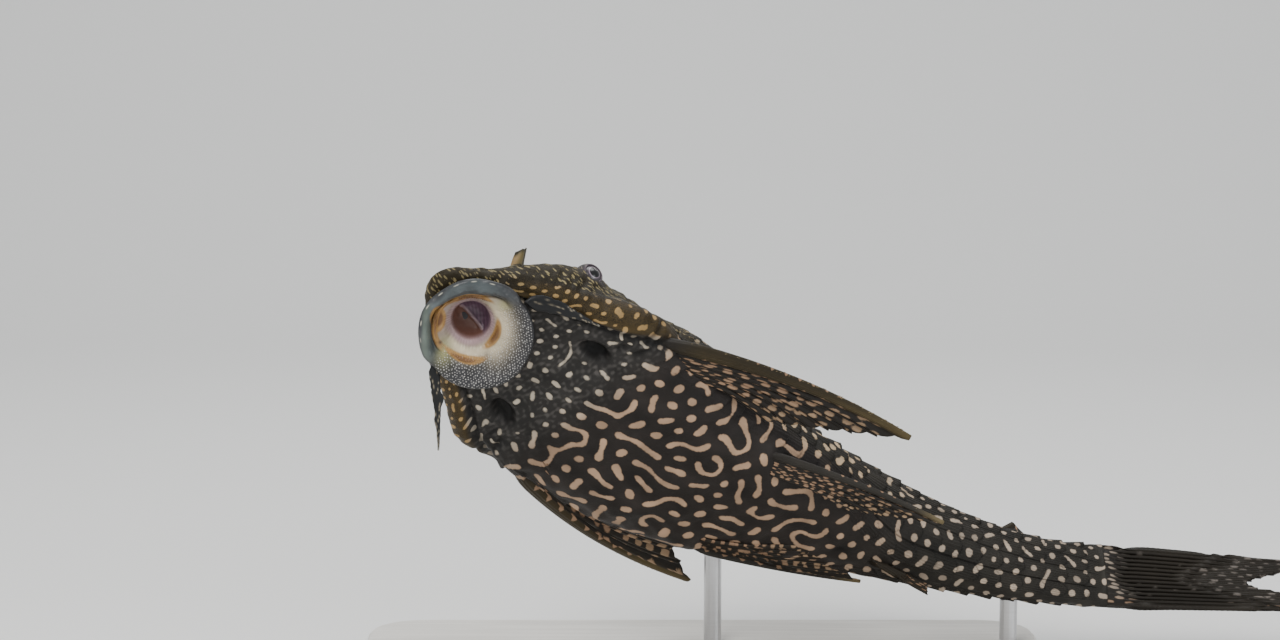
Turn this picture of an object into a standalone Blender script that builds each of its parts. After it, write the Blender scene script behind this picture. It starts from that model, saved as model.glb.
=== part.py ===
"""A vermiculated sailfin pleco at life size, holding on by its mouth, on a plain display stand.

Metres, +Z up. The origin is the centre of the underside of the stand's base.
The pane that the fish holds to would stand in front of it, square to the Y axis.
Along the fish, a share is a distance from the snout divided by the standard length.
"""

import math

import bmesh
import bpy
import numpy as np
from mathutils import Matrix, Vector

# Whole fish
STANDARD_LENGTH = 0.318  # snout to the root of the tail fin
GAP = 0.0003  # kept between nodes that meet
CUTTER_GROWTH = 0.00036  # how much larger than the body its cutter is
SEED = 7

# Where the fish is and how it bends: share, degrees down, degrees away, degrees of roll
SNOUT = (-0.1025, -0.051, 0.170)
COURSE = (
    (0.00, 43, 24, 18),
    (0.12, 46, 21, 21),
    (0.28, 43, 19, 27),
    (0.50, 27, 18, 32),
    (0.70, 20, 11, 36),
    (0.90, 10, 5, 38),
    (1.10, 4, 4, 40),
    (1.45, 2, 4, 40),
)
COURSE_STEPS = 580

# Body form: share, then a share of the standard length or a power
HALF_WIDTH = (
    (0.00, 0.054), (0.06, 0.076), (0.12, 0.103), (0.18, 0.124), (0.25, 0.143), (0.33, 0.142),
    (0.42, 0.130), (0.52, 0.108), (0.62, 0.080), (0.74, 0.054), (0.86, 0.036), (0.95, 0.024),
    (1.00, 0.013),
)
BACK_HEIGHT = (
    (0.00, 0.022), (0.05, 0.036), (0.10, 0.066), (0.15, 0.104), (0.20, 0.136), (0.27, 0.164),
    (0.36, 0.190), (0.45, 0.186), (0.55, 0.167), (0.66, 0.141), (0.76, 0.117), (0.86, 0.098),
    (0.94, 0.090), (1.00, 0.094),
)
WIDEST_LEVEL = (
    (0.00, 0.016), (0.15, 0.026), (0.30, 0.036), (0.50, 0.046), (0.70, 0.052), (1.00, 0.050),
)
UPPER_POWER = (
    (0.00, 2.3), (0.15, 2.1), (0.21, 1.80), (0.26, 1.57), (0.32, 1.68), (0.60, 1.7), (0.85, 2.0), (1.00, 2.1),
)
LOWER_POWER = ((0.00, 2.6), (0.15, 3.2), (0.45, 2.8), (0.70, 2.3), (1.00, 2.1))
SNOUT_START = 0.0115  # share where the snout begins
SNOUT_ROUNDING = 0.116  # share over which the snout rounds out to its full width
BELLY_SAG = ((0.00, 0.0), (0.22, 0.0), (0.40, 0.012), (0.55, 0.006), (0.66, 0.0), (1.00, 0.0))

# Plates of the flanks
NECK_SHARE = 0.262
VENT_PLATE = 14  # the tail starts with this plate
PLATES = 25  # along each row
NECK_LEAN = 0.050  # how much further back the head shield reaches on the back
LEAN_END = 0.47
TRUNK_BORDERS = (0.335, 0.45, 0.56, 0.68, 0.82, 1.0)  # of the half girth, from the belly line
TAIL_BORDERS = (0.06, 0.22, 0.41, 0.60, 0.80, 1.0)
BORDERS_CHANGE = (0.56, 0.74)
ROW_POINTS = (-1.0, -0.5, 0.0, 0.5)  # across one plate
BELLY_COLUMNS = 3
PLATE_STEP = 0.0010
PLATE_KEEL = 0.0008
PLATE_SEAM = 0.0004
PLATE_POINT = 0.34  # of a plate's length
PLATE_RINGS = (0.05, 1.0)

# Head
HEAD_RINGS = 21
EYE_SHARE = 0.154
EYE_GIRTH = 0.60
EYE_RADIUS = 0.0052
EYE_SINK = 0.00155
LID_THICKNESS = 0.0009
NOSTRIL_SHARE = 0.076
NOSTRIL_GIRTH = 0.58
NOSTRIL_RADIUS = 0.0014
NOSTRIL_AHEAD = 0.0022  # how far the nostril lies in front of its flap
NOSTRIL_DEPTH = 0.0008  # how far the collar is sunk, and the pit raised, from the skin
FLAP_HEIGHT = 0.0072
FLAP_WIDTH = 0.0062
FLAP_STANCES = {1: (1.0, 0.36), -1: (0.80, 0.10)}  # rise and forward lean, left and right
# Hills of the head: height in metres, then place and width along, and place and width round the girth
HEAD_HILLS = (
    (0.0012, EYE_SHARE, 0.030, EYE_GIRTH + 0.02, 0.055),  # brow
    (0.0034, 0.112, 0.038, 0.57, 0.10),  # bridge from the nostril to the eye
    (-0.0014, 0.240, 0.030, 0.60, 0.12),  # nape
    (0.0056, 0.200, 0.040, 0.40, 0.06),  # gill cover
    (-0.0020, 0.190, 0.040, 0.20, 0.10),  # throat
)

# Mouth disc, as shares of its radius where no unit is given
DISC_SHARE = 0.084
DISC_STAND_OFF = 0.0085  # metres from the belly line to the rim's plane
DISC_RADIUS = 0.0214  # metres
DISC_TOWARDS_PANE = 0.62  # 0 is square to the head's underside, 1 is flat on the pane
DISC_TURN = 6  # degrees that the mouth is turned about its own axis
DISC_POINTS = 28
DISC_BACK = ((0.50, -0.0150), (0.56, -0.0085), (0.78, -0.0048), (0.95, -0.0020), (1.00, -0.0009))
DISC_FACE = (
    (0.985, 0.0000), (0.94, 0.0003), (0.82, -0.0005), (0.68, -0.0015), (0.54, -0.0026),
    (0.44, -0.0040), (0.385, -0.0062), (0.33, -0.0085),
)
DISC_FLOOR = -0.0098  # metres
MOUTH_FORWARD = 0.19  # how far the opening lies towards the snout
TOOTH_ROWS = ((50, 0.52, -0.0027), (134, 0.62, -0.0016), (218, 0.56, -0.0027), (298, 0.44, -0.0036))
TOOTH_ARC = 56  # degrees of one row
TEETH_IN_ROW = 5
TOOTH_LENGTH = 0.0026
TOOTH_THICKNESS = 0.0013

# Feelers at the corners of the mouth
BARBEL_LENGTH = 0.033
BARBEL_RADIUS = 0.0014
BARBEL_SIDES = 8
BARBEL_RINGS = 9
BARBEL_ROOT = (0.93, -0.0022)  # radius on the disc and level

# Paired fins. The lie of the spine and the way the fin folds are backward, outward and upward parts
PECTORAL = {
    "length": 0.102, "spine_width": 0.0078, "spine_thickness": 0.0042, "base": 0.013,
    "rays": 6, "last": 0.50, "pleat": 0.0007, "steps": 9, "bow": 0.26,
}
PELVIC = {
    "length": 0.075, "spine_width": 0.0042, "spine_thickness": 0.0026, "base": 0.007,
    "rays": 5, "last": 0.55, "pleat": 0.0006, "steps": 7, "bow": 0.12,
}
# Name, form, side, share and girth of the root, degrees of spread, lie, fold, upward curl of the tip
PAIRED_FINS = (
    ("pectoral_fin_left", PECTORAL, 1, 0.254, 0.37, 6, (0.90, 0.43, -0.02), (0.0, -0.95, 0.15), 0.02),
    ("pectoral_fin_right", PECTORAL, -1, 0.270, 0.33, 9, (0.98, 0.04, 0.04), (0.0, -0.94, -0.30), 0.14),
    ("pelvic_fin_left", PELVIC, 1, 0.486, 0.28, 4, (0.97, 0.19, -0.13), (0.0, -0.98, -0.10), 0.02),
    ("pelvic_fin_right", PELVIC, -1, 0.490, 0.26, 14, (0.95, -0.20, 0.04), (0.0, -0.93, -0.25), 0.02),
)
MEMBRANE = 0.0006  # thickness
RAY_ROOT = 0.0017
RAY_TIP = 0.0008
ROOT_SINK = 1.25  # how deep the root of a paired fin lies in the body, in thicknesses of its spine

ROOT_STEP = -0.10  # where a fin starts inside the body, as a share of its length

# Fins of the midline, in shares along and above the back or below the belly
FIN_ROOT_DEPTH = 0.006  # metres
DORSAL_ROOTS = (0.365, 0.625)
DORSAL_RAYS = 13
DORSAL_LENGTHS = (0.245, 0.150)
DORSAL_SLOPES = (20, 10)
DORSAL_LEAN = 56  # degrees to the right
ADIPOSE = (0.855, 0.905, 0.024)
ANAL_ROOTS = (0.690, 0.715)
ANAL_RAYS = 5
ANAL_LENGTHS = (0.090, 0.060)
ANAL_SLOPES = (15, 10)
CAUDAL_RAYS = 15
CAUDAL_LENGTHS = ((0.0, 0.285), (0.14, 0.260), (0.5, 0.190), (0.86, 0.330), (1.0, 0.380))
CAUDAL_STEPS = 9
CAUDAL_ROOT_THICKNESS = 0.0062
CAUDAL_TIP_LEVELS = (0.078, 0.000)
CAUDAL_PLEAT = 0.0008  # metres
CAUDAL_DRIFT = 0.010  # how far the tail fin swings to the left

# Stand
BASE_SIZE = (0.270, 0.150, 0.012)
BASE_CORNER = 0.020
BASE_BEVEL = 0.0015
BASE_CORNER_STEPS = 6
ROD_RADIUS = 0.0035
ROD_SIDES = 20
ROD_PLACES = (("stand_rod_front", 0.004, 0.036, 0.070), ("stand_rod_rear", 0.122, 0.034, 0.050))


def remove_everything():
    for item in list(bpy.data.objects):
        bpy.data.objects.remove(item, do_unlink=True)


# Curves and frames


def along(table, share):
    """A value read from a table of (share, value) on a curve that doesn't overshoot."""
    stops, values = np.array(table, float).T
    share = np.clip(share, stops[0], stops[-1])
    widths = np.diff(stops)
    rises = np.diff(values) / widths
    slopes = np.concatenate((rises[:1], (rises[1:] + rises[:-1]) / 2, rises[-1:]))
    turns = rises[1:] * rises[:-1] <= 0
    slopes[1:-1][turns] = 0
    index = np.clip(np.searchsorted(stops, share, side="right") - 1, 0, len(widths) - 1)
    t = (share - stops[index]) / widths[index]
    start = values[index] * (1 + 2 * t) * (1 - t) ** 2
    end = values[index + 1] * t * t * (3 - 2 * t)
    lead = slopes[index] * widths[index] * t * (1 - t) ** 2
    trail = slopes[index + 1] * widths[index] * t * t * (t - 1)
    return start + end + lead + trail


def ease(value, start, end):
    """0 before start, 1 after end, smooth between."""
    t = np.clip((np.asarray(value, float) - start) / (end - start), 0, 1)
    return t * t * (3 - 2 * t)


def unit(vector):
    return vector / np.linalg.norm(vector, axis=-1, keepdims=True)


def lay_course():
    """The belly line from snout to tail tip, with its backward, left and up directions."""
    shares = np.linspace(0, COURSE[-1][0], COURSE_STEPS + 1)
    angles = []
    for column in (1, 2, 3):
        angles.append(np.radians(along([(row[0], row[column]) for row in COURSE], shares)))
    down, away, roll = angles
    backward = np.stack((np.cos(down) * np.cos(away), np.sin(away), -np.sin(down) * np.cos(away)), -1)
    across = np.stack((np.sin(down), np.zeros_like(down), np.cos(down)), -1)
    deep = np.cross(across, backward)
    cos_roll = np.cos(roll)[:, None]
    sin_roll = np.sin(roll)[:, None]
    left = cos_roll * across - sin_roll * deep
    up = cos_roll * deep + sin_roll * across
    step = STANDARD_LENGTH * COURSE[-1][0] / COURSE_STEPS
    moves = (backward[1:] + backward[:-1]) / 2 * step
    places = np.array(SNOUT) + np.concatenate((np.zeros((1, 3)), np.cumsum(moves, 0)))
    return shares, places, backward, left, up


COURSE_LINE = lay_course()


def directions(share):
    """The belly line's place and its backward, left and up directions at each share."""
    shares = COURSE_LINE[0]
    share = np.asarray(share, float)
    found = []
    for values in COURSE_LINE[1:]:
        found.append(np.stack([np.interp(share, shares, values[:, k]) for k in range(3)], -1))
    place, backward, left, up = found
    return place, unit(backward), unit(left), unit(up)


def locate(share, side, height):
    """World places from shares along, metres to the left, and metres up from the belly line."""
    place, _, left, up = directions(share)
    return place + left * np.asarray(side, float)[..., None] + up * np.asarray(height, float)[..., None]


# Body surface


def section(share, girth):
    """Side and height at signed shares of the half girth, with the outward direction there.

    Girth is 0 on the belly line and 1 on the line of the back, minus on the right side.
    """
    share = np.asarray(share, float)
    girth = np.asarray(girth, float)
    rounding = 1 - np.clip((share - SNOUT_START) / SNOUT_ROUNDING, 0, 1)
    nose = np.sqrt(np.clip(1 - rounding**2, 0, 1))
    width = along(HALF_WIDTH, share) * nose
    level = along(WIDEST_LEVEL, share)
    top = level + (along(BACK_HEIGHT, share) - level) * nose**0.9
    bottom = level - (level + along(BELLY_SAG, share)) * nose**0.6
    upper = along(UPPER_POWER, share)
    lower = along(LOWER_POWER, share)
    turn = np.linspace(0, math.pi, 97)[None, :]
    cosine = np.cos(turn)
    below = cosine > 0
    power = 2 / np.where(below, lower[:, None], upper[:, None])
    side = width[:, None] * np.sin(turn) ** power
    reach = np.where(below, bottom[:, None] - level[:, None], top[:, None] - level[:, None])
    height = level[:, None] + reach * np.abs(cosine) ** power
    lengths = np.hypot(np.diff(side), np.diff(height))
    run = np.concatenate((np.zeros((len(share), 1)), np.cumsum(lengths, 1)), 1)
    run /= np.maximum(run[:, -1:], 1e-9)
    sides = np.empty_like(girth)
    heights = np.empty_like(girth)
    outs = np.empty(girth.shape + (2,))
    nudge = 0.006
    for k, g in enumerate(np.abs(girth)):
        before, here, after = np.clip((g - nudge, g, g + nudge), 0, 1)
        s = np.interp((before, here, after), run[k], side[k])
        h = np.interp((before, here, after), run[k], height[k])
        sides[k], heights[k] = s[1], h[1]
        outs[k] = (h[2] - h[0], s[0] - s[2])
    flat = np.abs(girth) < 1e-6
    outs[flat] = (0, -1)
    outs[np.abs(girth) > 1 - 1e-6] = (0, 1)
    outs = unit(outs)
    sign = np.where(girth < 0, -1.0, 1.0)
    outs[:, 0] *= sign
    return sides * sign * STANDARD_LENGTH, heights * STANDARD_LENGTH, outs


def skin(share, girth, raised):
    """World places on the body at shares and girths, raised by metres along the outward way."""
    share = np.atleast_1d(np.asarray(share, float))
    girth = np.atleast_1d(np.asarray(girth, float))
    side, height, out = section(share, girth)
    return locate(share, side + out[:, 0] * raised, height + out[:, 1] * raised)


def columns():
    """The columns of the body's grid: (row, place across the row), left side up, then right side down.

    Row -1 is the belly, whose second value is a share of its half width.
    """
    left = [(-1, k / BELLY_COLUMNS) for k in range(1, BELLY_COLUMNS)]
    for row in range(len(TRUNK_BORDERS) - 1):
        left += [(row, q) for q in ROW_POINTS]
    right = [(row, q, -1) for row, q in reversed(left)]
    left = [(row, q, 1) for row, q in left]
    return [(-1, 0.0, 1)] + left + [(len(TRUNK_BORDERS) - 2, 1.0, 1)] + right


def column_girth(row, across, share):
    """The share of the half girth where a column lies, at each share along."""
    change = ease(share, *BORDERS_CHANGE)
    borders = [a + (b - a) * change for a, b in zip(TRUNK_BORDERS, TAIL_BORDERS)]
    if row < 0:
        return borders[0] * across
    return borders[row] + (borders[row + 1] - borders[row]) * (across + 1) / 2


def head_relief(share, girth):
    """How far the head stands proud of its plain form, in metres."""
    side = np.abs(girth)
    total = np.zeros_like(share * side)
    for height, middle, length, level, width in HEAD_HILLS:
        total = total + height * np.exp(-(((share - middle) / length) ** 2) - ((side - level) / width) ** 2)
    ridge_line = 0.80 - 0.5 * (share - 0.12)
    total = total + 0.0012 * np.exp(-(((side - ridge_line) / 0.035) ** 2)) * ease(share, 0.09, 0.13)
    rim = ease(share, 0.015, 0.038) * (1 - ease(share, 0.05, 0.08))
    total = total - 0.0012 * np.exp(-(((side - 0.54) / 0.09) ** 2)) * rim
    return total * (1 - ease(share, 0.24, 0.27))


class Ring:
    """One ring of the body's grid."""

    def __init__(self, share, plate=None, progress=0.0):
        self.share = share
        self.plate = plate
        self.progress = progress

    def points(self, grow=0.0, slide=0.0):
        draw = np.random.default_rng(SEED + (self.plate or 0))
        chance = draw.uniform(0.75, 1.2, len(COLUMNS))
        pitch = (1 - NECK_SHARE) / PLATES
        rows = np.array([c[0] for c in COLUMNS])
        across = np.array([c[1] for c in COLUMNS])
        sides = np.array([c[2] for c in COLUMNS])
        plated = (rows >= 0) * ease(self.share, 0.20, NECK_SHARE) * (1 - ease(self.share, 0.97, 1.0))
        point = PLATE_POINT * pitch * (1 - across**2) * plated
        rough = np.array([float(column_girth(row, q, self.share)) for row, q, _ in COLUMNS])
        lean = NECK_LEAN * ease(rough, 0.40, 0.95) * ease(self.share, 0.02, NECK_SHARE)
        lean *= 1 - ease(self.share, NECK_SHARE, LEAN_END)
        share = np.clip(self.share + point + lean + slide / STANDARD_LENGTH, SNOUT_START + 0.0004, None)
        girth = np.array([float(column_girth(row, q, s)) for (row, q, _), s in zip(COLUMNS, share)])
        raised = np.full(len(COLUMNS), grow)
        if self.plate is None:
            raised += head_relief(share, girth)
        else:
            size = 0.55 + 0.45 * along(HALF_WIDTH, self.share) / 0.143
            ramp = self.progress * size * chance[rows]
            lift = PLATE_STEP * ramp * (1 - 0.5 * across**2)
            lift += PLATE_KEEL * ramp * np.clip(1 - 1.6 * np.abs(across), 0, 1)
            seam = (np.abs(across) == 1) & ~((rows == 0) & (across < 0))
            lift -= PLATE_SEAM * seam * np.clip(self.progress * 3, 0, 1)
            raised += lift * (rows >= 0)
        return skin(share, girth * sides, raised)


COLUMNS = columns()


def ring_plan():
    """Every ring from snout to tail root, and the two rings where the body is parted."""
    rings = []
    for k in range(HEAD_RINGS):
        step = (k + 0.35) / HEAD_RINGS
        rings.append(Ring(SNOUT_START + (NECK_SHARE - SNOUT_START) * step**1.45))
    parting = [len(rings)]
    pitch = (1 - NECK_SHARE) / PLATES
    for plate in range(PLATES):
        if plate == VENT_PLATE:
            parting.append(len(rings))
        start = NECK_SHARE + plate * pitch
        for progress in PLATE_RINGS:
            lag = 0.0 if progress == PLATE_RINGS[0] else progress
            rings.append(Ring(start + progress * pitch, plate, lag))
    return rings, parting


# Meshes


def new_material(name, colour, roughness, metallic=0.0):
    material = bpy.data.materials.new(name)
    material.use_nodes = True
    shader = material.node_tree.nodes["Principled BSDF"]
    shader.inputs["Base Color"].default_value = (*colour, 1.0)
    shader.inputs["Roughness"].default_value = roughness
    shader.inputs["Metallic"].default_value = metallic
    material.diffuse_color = (*colour, 1.0)
    return material


def new_object(name, points, faces, material):
    mesh = bpy.data.meshes.new(name)
    mesh.from_pydata([tuple(p) for p in points], [], [tuple(f) for f in faces])
    mesh.update()
    if material is not None:
        mesh.materials.append(material)
    item = bpy.data.objects.new(name, mesh)
    bpy.context.scene.collection.objects.link(item)
    turn_outward(item)
    mesh.shade_smooth()
    mesh.set_sharp_from_angle(angle=math.radians(40))
    return item


def turn_outward(item):
    """Point the faces out, judged by the signed volume."""
    work = bmesh.new()
    work.from_mesh(item.data)
    bmesh.ops.recalc_face_normals(work, faces=work.faces)
    if work.calc_volume(signed=True) < 0:
        bmesh.ops.reverse_faces(work, faces=work.faces)
    work.to_mesh(item.data)
    work.free()


def keep_largest(item):
    """Drop all but the closed surface that encloses the most."""
    work = bmesh.new()
    work.from_mesh(item.data)
    left_over = set(work.faces)
    shells = []
    while left_over:
        queue = [left_over.pop()]
        shell = []
        while queue:
            face = queue.pop()
            shell.append(face)
            for edge in face.edges:
                for other in edge.link_faces:
                    if other in left_over:
                        left_over.discard(other)
                        queue.append(other)
        shells.append(shell)
    if len(shells) > 1:
        sizes = []
        for shell in shells:
            total = 0.0
            for face in shell:
                loop = [v.co for v in face.verts]
                for b, c in zip(loop[1:], loop[2:]):
                    total += loop[0].dot(b.cross(c)) / 6
            sizes.append(abs(total))
        kept = shells[sizes.index(max(sizes))]
        drop = [face for shell in shells if shell is not kept for face in shell]
        bmesh.ops.delete(work, geom=drop, context="FACES")
        loose = [v for v in work.verts if not v.link_faces]
        bmesh.ops.delete(work, geom=loose, context="VERTS")
    work.to_mesh(item.data)
    work.free()


def combine(item, others, operation, solver="EXACT"):
    """Join the others to the item, or cut them from it, in one Boolean, and remove them."""
    group = bpy.data.collections.new(item.name + "_" + operation.lower())
    bpy.context.scene.collection.children.link(group)
    for other in others:
        for holder in list(other.users_collection):
            holder.objects.unlink(other)
        group.objects.link(other)
        other.hide_render = True
        other.display_type = "WIRE"
    modifier = item.modifiers.new("combine", "BOOLEAN")
    modifier.operation = operation
    modifier.operand_type = "COLLECTION"
    modifier.collection = group
    modifier.solver = solver
    view = bpy.context.evaluated_depsgraph_get()
    mesh = bpy.data.meshes.new_from_object(item.evaluated_get(view))
    item.modifiers.remove(modifier)
    old = item.data
    item.data = mesh
    bpy.data.meshes.remove(old)
    mesh.name = item.name
    for other in others:
        bpy.data.objects.remove(other, do_unlink=True)
    bpy.data.collections.remove(group)
    keep_largest(item)


def ring_faces(ring_count, size, closed_ends=True):
    """Faces of a closed tube of rings, with a point for each end after the rings' points."""
    faces = []
    for i in range(ring_count - 1):
        for j in range(size):
            k = (j + 1) % size
            faces.append((i * size + j, i * size + k, (i + 1) * size + k))
            faces.append((i * size + j, (i + 1) * size + k, (i + 1) * size + j))
    if closed_ends:
        first = ring_count * size
        for j in range(size):
            k = (j + 1) % size
            faces.append((first, k, j))
            faces.append((first + 1, (ring_count - 1) * size + j, (ring_count - 1) * size + k))
    return faces


def tube(name, rings, start, end, material):
    """A closed body of point rings with an end point before the first and after the last."""
    points = np.concatenate(list(rings) + [np.array([start, end])])
    return new_object(name, points, ring_faces(len(rings), len(rings[0])), material)


def sheet(name, middle, thickness, material):
    """A thin closed body about a grid of points, split into triangles alike on both faces."""
    rows, count = middle.shape[:2]
    along_rows = np.gradient(middle, axis=0)
    across_rows = np.gradient(middle, axis=1)
    normal = unit(np.cross(along_rows, across_rows))
    offset = normal * (np.broadcast_to(thickness, (rows, count))[..., None] / 2)
    points = np.concatenate(((middle + offset).reshape(-1, 3), (middle - offset).reshape(-1, 3)))
    under = rows * count
    faces = []
    for i in range(rows - 1):
        for j in range(count - 1):
            a, b = i * count + j, i * count + j + 1
            c, d = a + count, b + count
            faces.append((a, b, d))
            faces.append((a, d, c))
            faces.append((under + a, under + d, under + b))
            faces.append((under + a, under + c, under + d))
    edge = [j for j in range(count)]
    edge += [i * count + count - 1 for i in range(1, rows)]
    edge += [(rows - 1) * count + j for j in range(count - 2, -1, -1)]
    edge += [i * count for i in range(rows - 2, 0, -1)]
    for a, b in zip(edge, edge[1:] + edge[:1]):
        faces.append((a, under + a, under + b))
        faces.append((a, under + b, b))
    return new_object(name, points, faces, material)


# Body nodes


def body_slice(name, first, last, material, grow=0.0):
    """The body between two rings, closed flat at its ends."""
    rings = PLAN[first : last + 1]
    loops = [ring.points(grow) for ring in rings]
    if first == 0:
        level = along(WIDEST_LEVEL, SNOUT_START) * STANDARD_LENGTH
        start = locate(np.array([SNOUT_START]), np.array([0.0]), np.array([level]))[0]
    else:
        loops[0] = Ring(PLAN[first].share, PLAN[first].plate, 0.0).points(grow, GAP * 0.5)
        start = loops[0].mean(0)
    if last + 1 < len(PLAN):
        end_ring = PLAN[last + 1]
        loops.append(Ring(end_ring.share, end_ring.plate, 0.0).points(grow, -GAP * 0.5))
    end = loops[-1].mean(0)
    return tube(name, loops, start, end, material)


def make_body(palette):
    neck, vent = PARTING
    head = body_slice("head", 0, neck - 1, palette["olive"])
    trunk = body_slice("trunk", neck, vent - 1, palette["dark"])
    tail = body_slice("tail", vent, len(PLAN) - 1, palette["dark"])
    return head, trunk, tail


def grown_body():
    """The whole body a gap larger, for cutting what meets it."""
    return body_slice("body_cutter", 0, len(PLAN) - 1, None, CUTTER_GROWTH)


PLAN, PARTING = ring_plan()


# Head


def eye_frame(side):
    """The eye's centre and the direction it looks."""
    on_skin = skin(EYE_SHARE, EYE_GIRTH * side, 0.0)[0]
    outer = skin(EYE_SHARE, EYE_GIRTH * side, 0.01)[0]
    outward = unit(outer - on_skin)
    relief = float(head_relief(EYE_SHARE, EYE_GIRTH))
    centre = on_skin + outward * (relief - EYE_SINK)
    _, backward, left, up = directions(EYE_SHARE)
    look = unit(outward * 0.55 + left * side * 0.45 - up * 0.50 - backward * 0.20)
    return centre, look


def frame_matrix(origin, axis, towards):
    """A placement whose Z is the axis and whose X leans towards the second direction."""
    z = unit(np.asarray(axis, float))
    x = unit(towards - z * np.dot(towards, z))
    y = np.cross(z, x)
    matrix = Matrix.Identity(4)
    for k in range(3):
        matrix[k][0], matrix[k][1], matrix[k][2], matrix[k][3] = x[k], y[k], z[k], origin[k]
    return matrix


def ball(name, centre, radius, material, segments=16, rows=10):
    work = bmesh.new()
    bmesh.ops.create_uvsphere(work, u_segments=segments, v_segments=rows, radius=radius)
    bmesh.ops.translate(work, verts=work.verts, vec=Vector(centre))
    return finish_bmesh(name, work, material)


def finish_bmesh(name, work, material):
    mesh = bpy.data.meshes.new(name)
    work.to_mesh(mesh)
    work.free()
    if material is not None:
        mesh.materials.append(material)
    item = bpy.data.objects.new(name, mesh)
    bpy.context.scene.collection.objects.link(item)
    mesh.shade_smooth()
    mesh.set_sharp_from_angle(angle=math.radians(40))
    return item


def lid(side):
    """A fleshy ring round the eye, thicker above."""
    centre, look = eye_frame(side)
    _, _, _, up = directions(EYE_SHARE)
    frame = frame_matrix(centre, look, up)
    count = 18
    around = 6
    points = []
    for i in range(count):
        turn = 2 * math.pi * i / count
        thickness = LID_THICKNESS * (1 + 0.35 * math.cos(turn))
        reach = EYE_RADIUS * 0.98 + thickness * 0.55
        for j in range(around):
            bend = 2 * math.pi * j / around
            radius = reach + thickness * math.cos(bend)
            level = EYE_RADIUS * 0.28 + thickness * math.sin(bend) * 1.15
            points.append(frame @ Vector((radius * math.cos(turn), radius * math.sin(turn), level)))
    faces = []
    for i in range(count):
        k = (i + 1) % count
        for j in range(around):
            n = (j + 1) % around
            faces.append((i * around + j, k * around + j, k * around + n))
            faces.append((i * around + j, k * around + n, i * around + n))
    return new_object("lid", points, faces, None)


def nostril_frame(side):
    base = skin(NOSTRIL_SHARE, NOSTRIL_GIRTH * side, 0.0)[0]
    outward = unit(skin(NOSTRIL_SHARE, NOSTRIL_GIRTH * side, 0.01)[0] - base)
    base = base + outward * float(head_relief(NOSTRIL_SHARE, NOSTRIL_GIRTH))
    return base, outward


def nostril_rim(side):
    """A low collar round the nostril, just in front of the flap."""
    base, outward = nostril_frame(side)
    _, backward, _, _ = directions(NOSTRIL_SHARE)
    centre = base - backward * NOSTRIL_AHEAD - outward * NOSTRIL_DEPTH
    collar = NOSTRIL_RADIUS * 1.45
    matrix = frame_matrix(centre, outward, backward)
    work = bmesh.new()
    bmesh.ops.create_cone(
        work, cap_ends=True, segments=10, radius1=collar * 1.25, radius2=collar, depth=0.003, matrix=matrix
    )
    return finish_bmesh("collar", work, None)


def nostril_pit(side):
    base, outward = nostril_frame(side)
    _, backward, _, _ = directions(NOSTRIL_SHARE)
    centre = base - backward * NOSTRIL_AHEAD + outward * NOSTRIL_DEPTH
    return ball("pit", centre, NOSTRIL_RADIUS, None, 10, 6)


def nostril_flap(side, material):
    """A small upright flap of skin, cupped forward, behind the nostril."""
    base, outward = nostril_frame(side)
    _, backward, left, _ = directions(NOSTRIL_SHARE)
    across = unit(left * side - outward * np.dot(left * side, outward))
    upright, lean = FLAP_STANCES[side]
    rows, count = 5, 5
    middle = np.empty((rows, count, 3))
    thickness = np.empty((rows, count))
    for i in range(rows):
        t = i / (rows - 1)
        for j in range(count):
            w = 2 * j / (count - 1) - 1
            width = FLAP_WIDTH * (1 - 0.35 * t**2) / 2
            cup = FLAP_WIDTH * 0.20 * (1 - w * w)
            rise = FLAP_HEIGHT * upright * (t * 1.25 - 0.25) * (1 - 0.18 * w * w)
            middle[i, j] = base + across * width * w + backward * cup + outward * rise
            middle[i, j] -= backward * FLAP_HEIGHT * lean * t
            thickness[i, j] = 0.0011 - 0.0005 * t
    name = "nostril_flap_left" if side > 0 else "nostril_flap_right"
    return sheet(name, middle, thickness, material)


# Mouth disc


def disc_frame():
    """The disc's centre, and its forward, left and outward directions."""
    place, backward, left, up = directions(DISC_SHARE)
    centre = place - up * DISC_STAND_OFF
    pane = np.array([0.0, -1.0, 0.0])
    outward = unit(-up * (1 - DISC_TOWARDS_PANE) + pane * DISC_TOWARDS_PANE)
    forward = unit(-backward - outward * np.dot(-backward, outward))
    leftward = np.cross(outward, forward)
    if np.dot(leftward, left) < 0:
        leftward = -leftward
    turn = math.radians(DISC_TURN)
    turned = forward * math.cos(turn) + leftward * math.sin(turn)
    leftward = leftward * math.cos(turn) - forward * math.sin(turn)
    return centre, turned, leftward, outward


def disc_place(radius, turn, level, shift=0.0):
    """A place on the disc: radius and shift in disc radii, turn from the left side towards the snout."""
    centre, forward, leftward, outward = disc_frame()
    flat = leftward * np.cos(turn) * radius + forward * (np.sin(turn) * radius + shift)
    return centre + flat * DISC_RADIUS + outward * level


def disc_rings(profile, grow=0.0):
    rings = []
    for radius, level in profile:
        shift = MOUTH_FORWARD * float(1 - ease(radius, 0.38, 0.95)) if level < 0.001 else 0.0
        ring = []
        for k in range(DISC_POINTS):
            turn = 2 * math.pi * k / DISC_POINTS
            lobe = 1 + 0.012 * math.sin(3 * turn + 0.6) + 0.008 * math.sin(7 * turn)
            corner = 1 - 0.030 * math.exp(-(math.sin(turn) / 0.12) ** 2)
            edge = lobe * corner if radius > 0.7 else 1.0
            ring.append(disc_place(radius * edge + grow / DISC_RADIUS, turn, level, shift))
        rings.append(np.array(ring))
    return rings


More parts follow.
